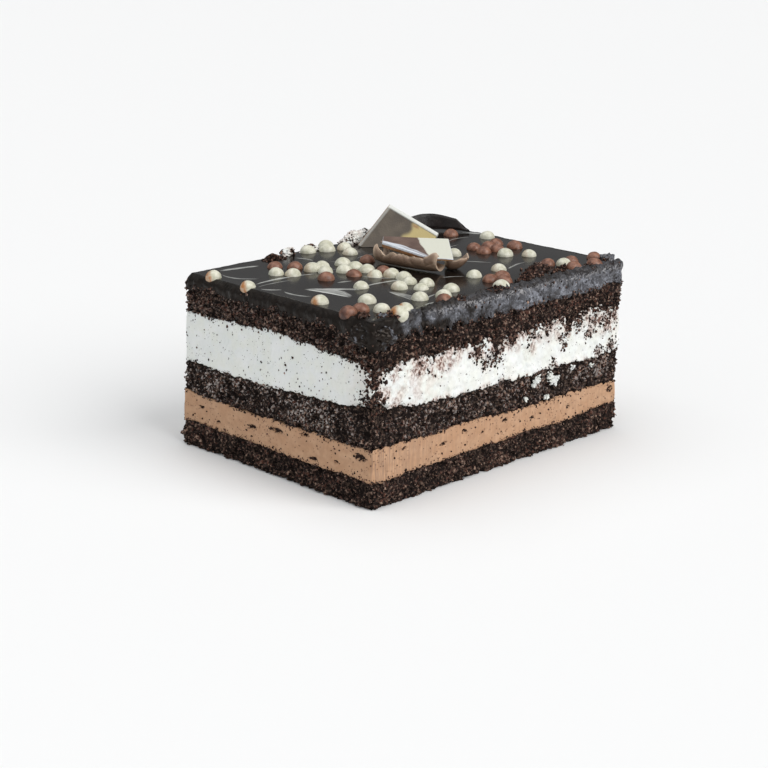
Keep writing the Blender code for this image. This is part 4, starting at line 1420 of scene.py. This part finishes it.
# %% Piles of crumbs on the glaze
PILES = (  # x, y, spread, crumbs: in millimetres
    (24.0, -27.0, 3.4, 420), (18.0, -30.0, 3.4, 420), (10.0, -33.6, 2.6, 200), (30.0, -31.4, 2.6, 160),
    (36.5, -34.8, 3.4, 160), (44.0, -34.6, 2.6, 160), (-17.0, -35.4, 3.0, 100), (-40.0, -34.8, 4.0, 140),
    (-46.8, -31.0, 2.2, 90), (25.5, -32.5, 1.8, 120), (-2.0, -35.6, 5.0, 120), (-21.0, 33.0, 3.2, 160),
)
PEARL_CLEARANCE = 2.3
PILE_FOOT, PILE_HEIGHT = 48.1, 1.5
pearl_places = np.array([pearl[:2] for pearl in pearls]) / MM
centres, sizes = [], []
for x, y, spread, count in PILES:
    around = draw.normal(0, spread / 2, (count, 2))
    heap = np.maximum(0, 1 - np.linalg.norm(around, axis=1) / spread)
    up = PILE_FOOT + PILE_HEIGHT * heap * draw.random(count)
    places = np.column_stack([x + around[:, 0], y + 0.6 * around[:, 1], up])
    from_pearl = np.min([np.hypot(*(places[:, :2] - place).T) for place in pearl_places], axis=0)
    on_top = (np.abs(places[:, 0]) < 48.6) & (places[:, 1] > -37.2) & (places[:, 1] < 35.0)
    keep = on_top & (from_pearl > PEARL_CLEARANCE)
    centres.append(places[keep] * MM)
    sizes.append((0.3 + 0.7 * draw.random(count) ** 2)[keep])
centres, sizes = lean_back(np.concatenate(centres)), np.concatenate(sizes)
proud = draw.random(len(sizes))
add_chips("crumbs_on_glaze", centres, sizes, loose_sponge, "dark_sponge", "glaze", 25, proud=proud)

# %% Crumbs on the crushed cream
picked = mound[draw.choice(len(mound), 2600, replace=False)]
high = picked[(picked[:, 2] > GLAZE_TOP) & (noise_at(picked, 2.0, 4) > 0.08)]
sizes = 0.25 + 0.5 * draw.random(len(high)) ** 2
proud = draw.random(len(high))
add_chips("crumbs_on_crushed_cream", high, sizes, loose_sponge, "dark_sponge", "glaze", 26, proud=proud)

# %% [markdown]
# ## Bent sheets of chocolate
# The shavings and the petal are thin sheets, rolled or bent. A sheet could be cut from a plane and given a
# thickness by a modifier. Here it is laid out by a function of two shares, along and across, and then
# thickened along its normals, which lets its border be thinner.

# %% Sheets laid out by a function
STAND = 0.3  # how far each piece stands clear of the glaze, in millimetres
CURL_THICKNESS = 1.0
PETAL_THICKNESS = 1.1
DECORATION_TURN = np.array(Matrix.Rotation(FACING, 3, "Z"))


def set_on_glaze(points):
    """Turns points from the decorations' directions to the block's, and lifts them to the glaze."""
    return (np.asarray(points) @ DECORATION_TURN.T + np.array([0, 0, GLAZE_TOP / MM])) * MM


def grid_quads(number):
    """The quads of a grid of point numbers."""
    corners = (number[:-1, :-1], number[:-1, 1:], number[1:, 1:], number[1:, :-1])
    return np.stack([part.ravel() for part in corners], 1)


def shell(name, shape, columns, rows, thickness, material, slot, node_name, thin_edge=0.4):
    """A closed shell round the surface shape(along, across), thinner towards its border."""
    grid = np.array([[shape(i / columns, j / rows) for i in range(columns + 1)] for j in range(rows + 1)])
    du, dv = np.gradient(grid, axis=1), np.gradient(grid, axis=0)
    normals = np.cross(du, dv)
    normals /= np.linalg.norm(normals, axis=2)[:, :, None]
    j, i = np.mgrid[0 : rows + 1, 0 : columns + 1]
    border = np.minimum(np.minimum(i, columns - i) / columns * 8, np.minimum(j, rows - j) / rows * 5)
    half = thickness / 2 * (thin_edge + (1 - thin_edge) * ease(border, 0, 1))
    # the border, where the milk chocolate paints a highlight
    thin = np.tile((1 - ease(border, 0.0, 0.5)).ravel(), 2)
    front, reverse = grid + normals * half[:, :, None], grid - normals * half[:, :, None]
    number = np.arange(grid[:, :, 0].size).reshape(rows + 1, columns + 1)
    quads = grid_quads(number)
    edge = np.concatenate([number[0, :-1], number[:-1, -1], number[-1, :0:-1], number[:0:-1, 0]])
    other = number.size
    faces = np.concatenate([quads, quads[:, ::-1] + other, band(other + edge, edge)])
    points = set_on_glaze(np.concatenate([front.reshape(-1, 3), reverse.reshape(-1, 3)]))
    add_piece(name, points, faces, material, slot, node_name, sharp=55, thin=thin)


# %% Helpers for bent shapes
def blend(start, end, share):
    """The value that share of the way from start to end."""
    return start + (end - start) * share


def step_up(value, low, high):
    """0 below low, 1 above high, and a smooth rise between."""
    return float(ease(value, low, high))


def scraped(along, across, size, depth):
    """Fine ridges that run along a shaving, and the waver of the blade."""
    ridges = noise.noise((across * 14, along * 1.5, size))
    waver = noise.noise((along * 9, across * 3, size + 4))
    return depth * (ridges + 0.6 * waver)


# %% [markdown]
# ## The rolled shaving
# A blade drawn over a block of chocolate rolls it up: the shaving is a trough, closed to a ring at its left
# end and with a high lip at the right. A tube would be too even, so the angle it covers changes along
# it, and noise crumples its lip.

# %% The rolled shaving
CURL_CENTRE = Vector((1.3, -2.2, 0.0))
CURL_LENGTH = 20.6
CURL_TURN = math.radians(-36)
CURL_RADIUS = 2.7


def curl_shape(along, across):
    """A trough that closes to a ring at its left end and has a high lip at the right."""
    left_end, right_end = 1 - step_up(along, 0.0, 0.1), step_up(along, 0.68, 1.0)
    dip = math.exp(-(((along - 0.2) / 0.08) ** 2))
    front = 6 + 24 * (1 - along) ** 2 + 40 * left_end + 50 * right_end - 30 * dip
    front += 10 * noise.noise((along * 9, 0.5, 2.0)) + 6 * noise.noise((along * 22, 0.5, 5.0))
    back = -14 + 84 * left_end - 22 * right_end
    turn = math.radians(blend(180 - front, 360 + back, across))
    wrinkle = max(0.0, 1 - 7 * abs(noise.noise((along * 5, across * 1.6, 3.0))))
    folds = (0.4 * noise.noise((along * 6, across * 2.5, 8.0)) - 0.3 * wrinkle) * (1 - across)
    radius = CURL_RADIUS * (1 - 0.06 * math.cos(2 * math.pi * along))
    radius += scraped(along, across, 1.0, 0.08) + folds
    ragged = 0.4 * noise.noise((across * 3, along * 2, 0.3)) * (2 * along - 1)
    x = (along - 0.5) * CURL_LENGTH + ragged
    y = radius * math.cos(turn) - 0.7 * math.sin(math.pi * along)
    z = STAND + CURL_THICKNESS / 2 + radius * (1 + math.sin(turn))
    return Matrix.Rotation(CURL_TURN, 3, "Z") @ Vector((x, y, z)) + CURL_CENTRE


shell("scraped_curl", curl_shape, 90, 44, CURL_THICKNESS, milk_chocolate, "milk_chocolate", "milk_curl")

# %% [markdown]
# ## The smaller shaving
# It broke off the first one: half a pipe, whose near end curls up into a cup and whose right side folds
# outward. The same kind of function makes it, with other shares for the fold and the cup.

# %% The smaller shaving
TAIL_CENTRE = (12.7, -3.8)
TAIL_LENGTH = 9.6
TAIL_RADIUS = 3.2


def tail_shape(along, across):
    """Half a pipe whose near end curls up into a cup and whose right side folds outward."""
    turn = math.radians(blend(235, 345, across))
    fold = step_up(across, 0.6, 1.0)
    cup = (1 - step_up(along, 0.0, 0.42)) ** 1.5
    radius = TAIL_RADIUS + scraped(along, across, 7.0, 0.10)
    right = TAIL_CENTRE[0] + radius * math.cos(turn) + 1.1 * fold
    up = STAND + CURL_THICKNESS / 2 + radius * (1 + math.sin(turn)) + 0.6 * fold + 2.3 * cup * (1 - fold)
    away = TAIL_CENTRE[1] + (along - 0.5) * TAIL_LENGTH * (1 - 0.35 * fold) + 0.8 * fold + 1.2 * cup**2
    return Vector((right, away, up))


shell(
    "scraped_curl_tail", tail_shape, 50, 40, CURL_THICKNESS, milk_chocolate, "milk_chocolate", "milk_curl_tail"
)

# %% [markdown]
# ## The dark petal
# A low leaf of dark chocolate stands at the back. It was moulded, so it is smooth: no ridges and no lip.

# %% The dark petal
def petal_shape(along, across):
    """A low upright leaf, bowed in plan, with a rounded back and a straight right end."""
    crown = 0.72 + 0.28 * step_up(along, -0.1, 0.3) - 0.34 * step_up(along, 0.4, 1.0)
    crown -= 0.58 * max(0, along - 0.84) / 0.16
    right = 9.6 + (along - 0.5) * 20.0 - 1.2 * across * (2 * along - 1)
    away = 44.0 + 2.4 * math.sin(math.pi * along) + 1.6 * across
    return Vector((right, away, STAND + 0.3 + across * crown * 4.3))


shell(
    "moulded_petal", petal_shape, 80, 24, PETAL_THICKNESS, dark_chocolate, "dark_chocolate", "dark_petal",
    thin_edge=0.6,
)

# %% [markdown]
# ## The marbled shard
# The shard was broken from a flat sheet of two chocolates, so its edge shows a pale band over a brown line,
# and its outline is straight between a few corners. The pale band is partly painted highlight, where the
# front edge catches the light, and runs onto the top along the front-left edge. A cut plane would leave no
# points inside for the colours. A grid stretched between the front and the back edge has them, and a chamfer
# catches the light.

# %% The shard's outline
SHARD_FRONT = ((-6.2, 0.9), (6.7, -8.4), (12.8, -8.1))
SHARD_BACK = ((-5.9, 5.6), (12.0, 7.8))
SHARD_CORNER = 0.7
SHARD_COLUMNS, SHARD_ROWS = 72, 48
SHARD_THICKNESS, CHAMFER = 1.5, 0.16


def shard_plan(along, across):
    """(right, away) of a point of the shard."""
    first, corner_point, last = (Vector(point) for point in SHARD_FRONT)
    if along < SHARD_CORNER:
        front = first.lerp(corner_point, along / SHARD_CORNER)
    else:
        front = corner_point.lerp(last, (along - SHARD_CORNER) / (1 - SHARD_CORNER))
    back = Vector(SHARD_BACK[0]).lerp(Vector(SHARD_BACK[1]), along)
    return front.lerp(back, across)


along_shares, across_shares = (np.arange(count + 1) / count for count in (SHARD_COLUMNS, SHARD_ROWS))
plan = np.array([[shard_plan(along, across) for across in across_shares] for along in along_shares])
number = np.arange(plan[:, :, 0].size).reshape(SHARD_COLUMNS + 1, SHARD_ROWS + 1)
edge = np.concatenate([number[:-1, 0], number[-1, :-1], number[:0:-1, -1], number[0, :0:-1]])
flat = plan.reshape(-1, 2)
print("the shard's outline has", len(edge), "points")

# %% Its board: the top, the underside and four rings of points down its edge
EDGE_RINGS = ((0.06, 0.1), (0.3, 0.36), (0.42, 0.46), (0.94, 0.9))  # painted depth, place in the thickness
surface = 6.0 + 0.126 * (flat[:, 1] - 7.8) - 0.069 * (flat[:, 0] - 12.0)
thick = SHARD_THICKNESS * (1 - 0.55 * ease(flat[:, 0], 5, 10))
drawn_in = flat.copy()
inward = flat.mean(0) - flat[edge]
drawn_in[edge] += CHAMFER * inward / np.linalg.norm(inward, axis=1)[:, None]
upper, lower = np.column_stack([drawn_in, surface]), np.column_stack([drawn_in, surface - thick])
walls = [np.column_stack([flat[edge], surface[edge] - down * thick[edge]]) for _, down in EDGE_RINGS]
for wall in walls[1:3]:
    wall[:, :2] += 0.12 * noise_at(wall * MM, 0.8)[:, None]
starts = [len(flat) + len(edge) * step for step in range(len(walls) + 1)]
quads = grid_quads(number.T)
faces = [quads, quads[:, ::-1] + starts[-1]]
loops = [edge] + [start + np.arange(len(edge)) for start in starts[:-1]] + [edge + starts[-1]]
faces += [band(below, above) for above, below in zip(loops[:-1], loops[1:])]
shard_points = np.concatenate([upper] + walls + [lower])
counts = [len(flat)] + [len(edge)] * len(EDGE_RINGS) + [len(flat)]
depth = np.repeat([0.0] + [value for value, _ in EDGE_RINGS] + [1.0], counts)
print(len(shard_points), "points in the board")

# %% Its colours, and the piece
right, away = shard_points[:, 0], shard_points[:, 1]
waver = noise_at(shard_points * MM, 3.0)
cream_line = 3.6 + 3.3 * (np.clip(7 - away, 0, 20) / 15.4) ** 1.5
cream = ease(right - cream_line + 0.25 * waver, -0.12, 0.12)
share_of_edge = np.clip((right + 6.2) / 12.9, 0, 1)
from_edge = (away - (0.9 - 9.3 * share_of_edge)) * 0.81
pale_width = 1.9 * np.sin(math.pi * np.clip(0.08 + 0.9 * share_of_edge, 0, 1)) ** 0.7 * (1 + 0.35 * waver)
# painted highlight: the pale band, widened onto the top along the front-left edge
on_pale = (1 - ease(from_edge - pale_width, -0.3, 0.3)) * (right < 6.7) * (depth < 0.05)
inside = 0.55 * (1 - ease(np.abs(from_edge - 0.55 * pale_width), 0.1, 0.6)) * ease(share_of_edge, 0.25, 0.5)
# the pale edge, partly white chocolate and partly painted highlight
pale_edge_and_highlight = np.clip(np.maximum(on_pale * (1 - inside), (depth > 0.05) & (depth < 0.35)), 0, 1)
brown_line = ((depth > 0.35) & (depth < 0.97)).astype(float)
add_piece(
    "broken_shard", set_on_glaze(shard_points), np.concatenate(faces), marbled_milk, "milk_chocolate",
    "marbled_shard", sharp=30, patch=cream, rim=pale_edge_and_highlight, brown=brown_line,
)

# %% [markdown]
# ## The plaque
# The plaque is a square of the same kind of sheet, standing on one corner and leaning back, so the corner is
# cut flat where it stands. A cube, turned and bevelled, gives the board at once. It is then cut into a fine
# grid, because colours painted on points need points.

# %% The board, cut flat at its foot
PLAQUE_SIDE, PLAQUE_THICKNESS = 16.8, 1.5
PLAQUE_BEVEL, PLAQUE_CUTS = 0.3, 48
plaque_pose = (
    Matrix.Translation((-1.6, 25.45, 1.6))
    @ Matrix.Rotation(math.radians(5), 4, "Z")
    @ Matrix.Rotation(math.radians(-43), 4, "X")
    @ Matrix.Rotation(math.radians(36), 4, "Y")
    @ Matrix.Diagonal((PLAQUE_SIDE, PLAQUE_THICKNESS, PLAQUE_SIDE, 1.0))
)
bm = bmesh.new()
bmesh.ops.create_cube(bm, size=1.0)
bmesh.ops.transform(bm, matrix=plaque_pose, verts=bm.verts)
whole = bm.verts[:] + bm.edges[:] + bm.faces[:]
cut = bmesh.ops.bisect_plane(bm, geom=whole, plane_co=(0, 0, STAND), plane_no=(0, 0, 1), clear_inner=True)
foot = [part for part in cut["geom_cut"] if isinstance(part, bmesh.types.BMEdge)]
bmesh.ops.holes_fill(bm, edges=foot, sides=0)
upper_edges = [edge for edge in bm.edges if edge not in foot]
bmesh.ops.bevel(bm, geom=upper_edges, offset=PLAQUE_BEVEL, segments=3, profile=0.5, affect="EDGES")
bmesh.ops.recalc_face_normals(bm, faces=bm.faces)
print(len(bm.faces), "faces in the plain board")

# %% A fine grid on it
for axis in (0, 2):
    across_board = plaque_pose.to_3x3().col[axis].normalized()
    for step in range(1, PLAQUE_CUTS):
        spot = Vector((0, 0, 0))
        spot[axis] = step / PLAQUE_CUTS - 0.5
        whole = bm.verts[:] + bm.edges[:] + bm.faces[:]
        bmesh.ops.bisect_plane(bm, geom=whole, plane_co=plaque_pose @ spot, plane_no=across_board)
bm.verts.index_update()
plaque_points = np.array([vert.co for vert in bm.verts])
plaque_faces = [[vert.index for vert in face.verts] for face in bm.faces]
bm.free()
print(len(plaque_faces), "faces after the cuts")

# %% Its sunken patch and its colours, and the piece
back_to_square = np.array(plaque_pose.inverted())
local = (np.column_stack([plaque_points, np.ones(len(plaque_points))]) @ back_to_square.T)[:, :3]
on_face = local[:, 1] < -0.2
from_right, from_left = (0.5 - local[:, 2]) * PLAQUE_SIDE, (local[:, 0] + 0.5) * PLAQUE_SIDE
waver = noise_at(plaque_points * MM, 3.0)
sunken = on_face * ease(np.minimum(from_right / 1.15, from_left / 0.8), 0.85, 1.15)
board_back = np.array(plaque_pose.to_3x3().col[1].normalized())
plaque_points += board_back * (0.25 * sunken)[:, None]
# painted highlight: a pale rim along the upper right bevel, and a little along the left one
right_rim_highlight, left_rim_highlight = 1 - ease(from_right, 1.0, 1.25), 1 - ease(from_left, 0.7, 0.9)
edge_line = (1 - ease(from_left, 0.1, 0.3)) * 0.7
# a yellow patch on the half of the face away from its left edge, short of the right rim
patch = on_face * (1 - right_rim_highlight) * ease(local[:, 0] + 0.06 * waver, 0.0, 0.1)
spot = np.hypot((local[:, 0] - 0.10) * 10, (local[:, 2] - 0.39) * 22)
marks = on_face * 0.75 * (1 - ease(spot + 0.5 * waver, 0.3, 1.0))
add_piece(
    "marbled_plaque", set_on_glaze(plaque_points), plaque_faces, marbled_plaque, "ivory_chocolate",
    "chocolate_plaque", sharp=20, patch=patch, rim=np.clip(np.maximum(right_rim_highlight, 0.3 * left_rim_highlight), 0, 1),
    brown=np.clip(np.maximum(marks, edge_line), 0, 1),
)
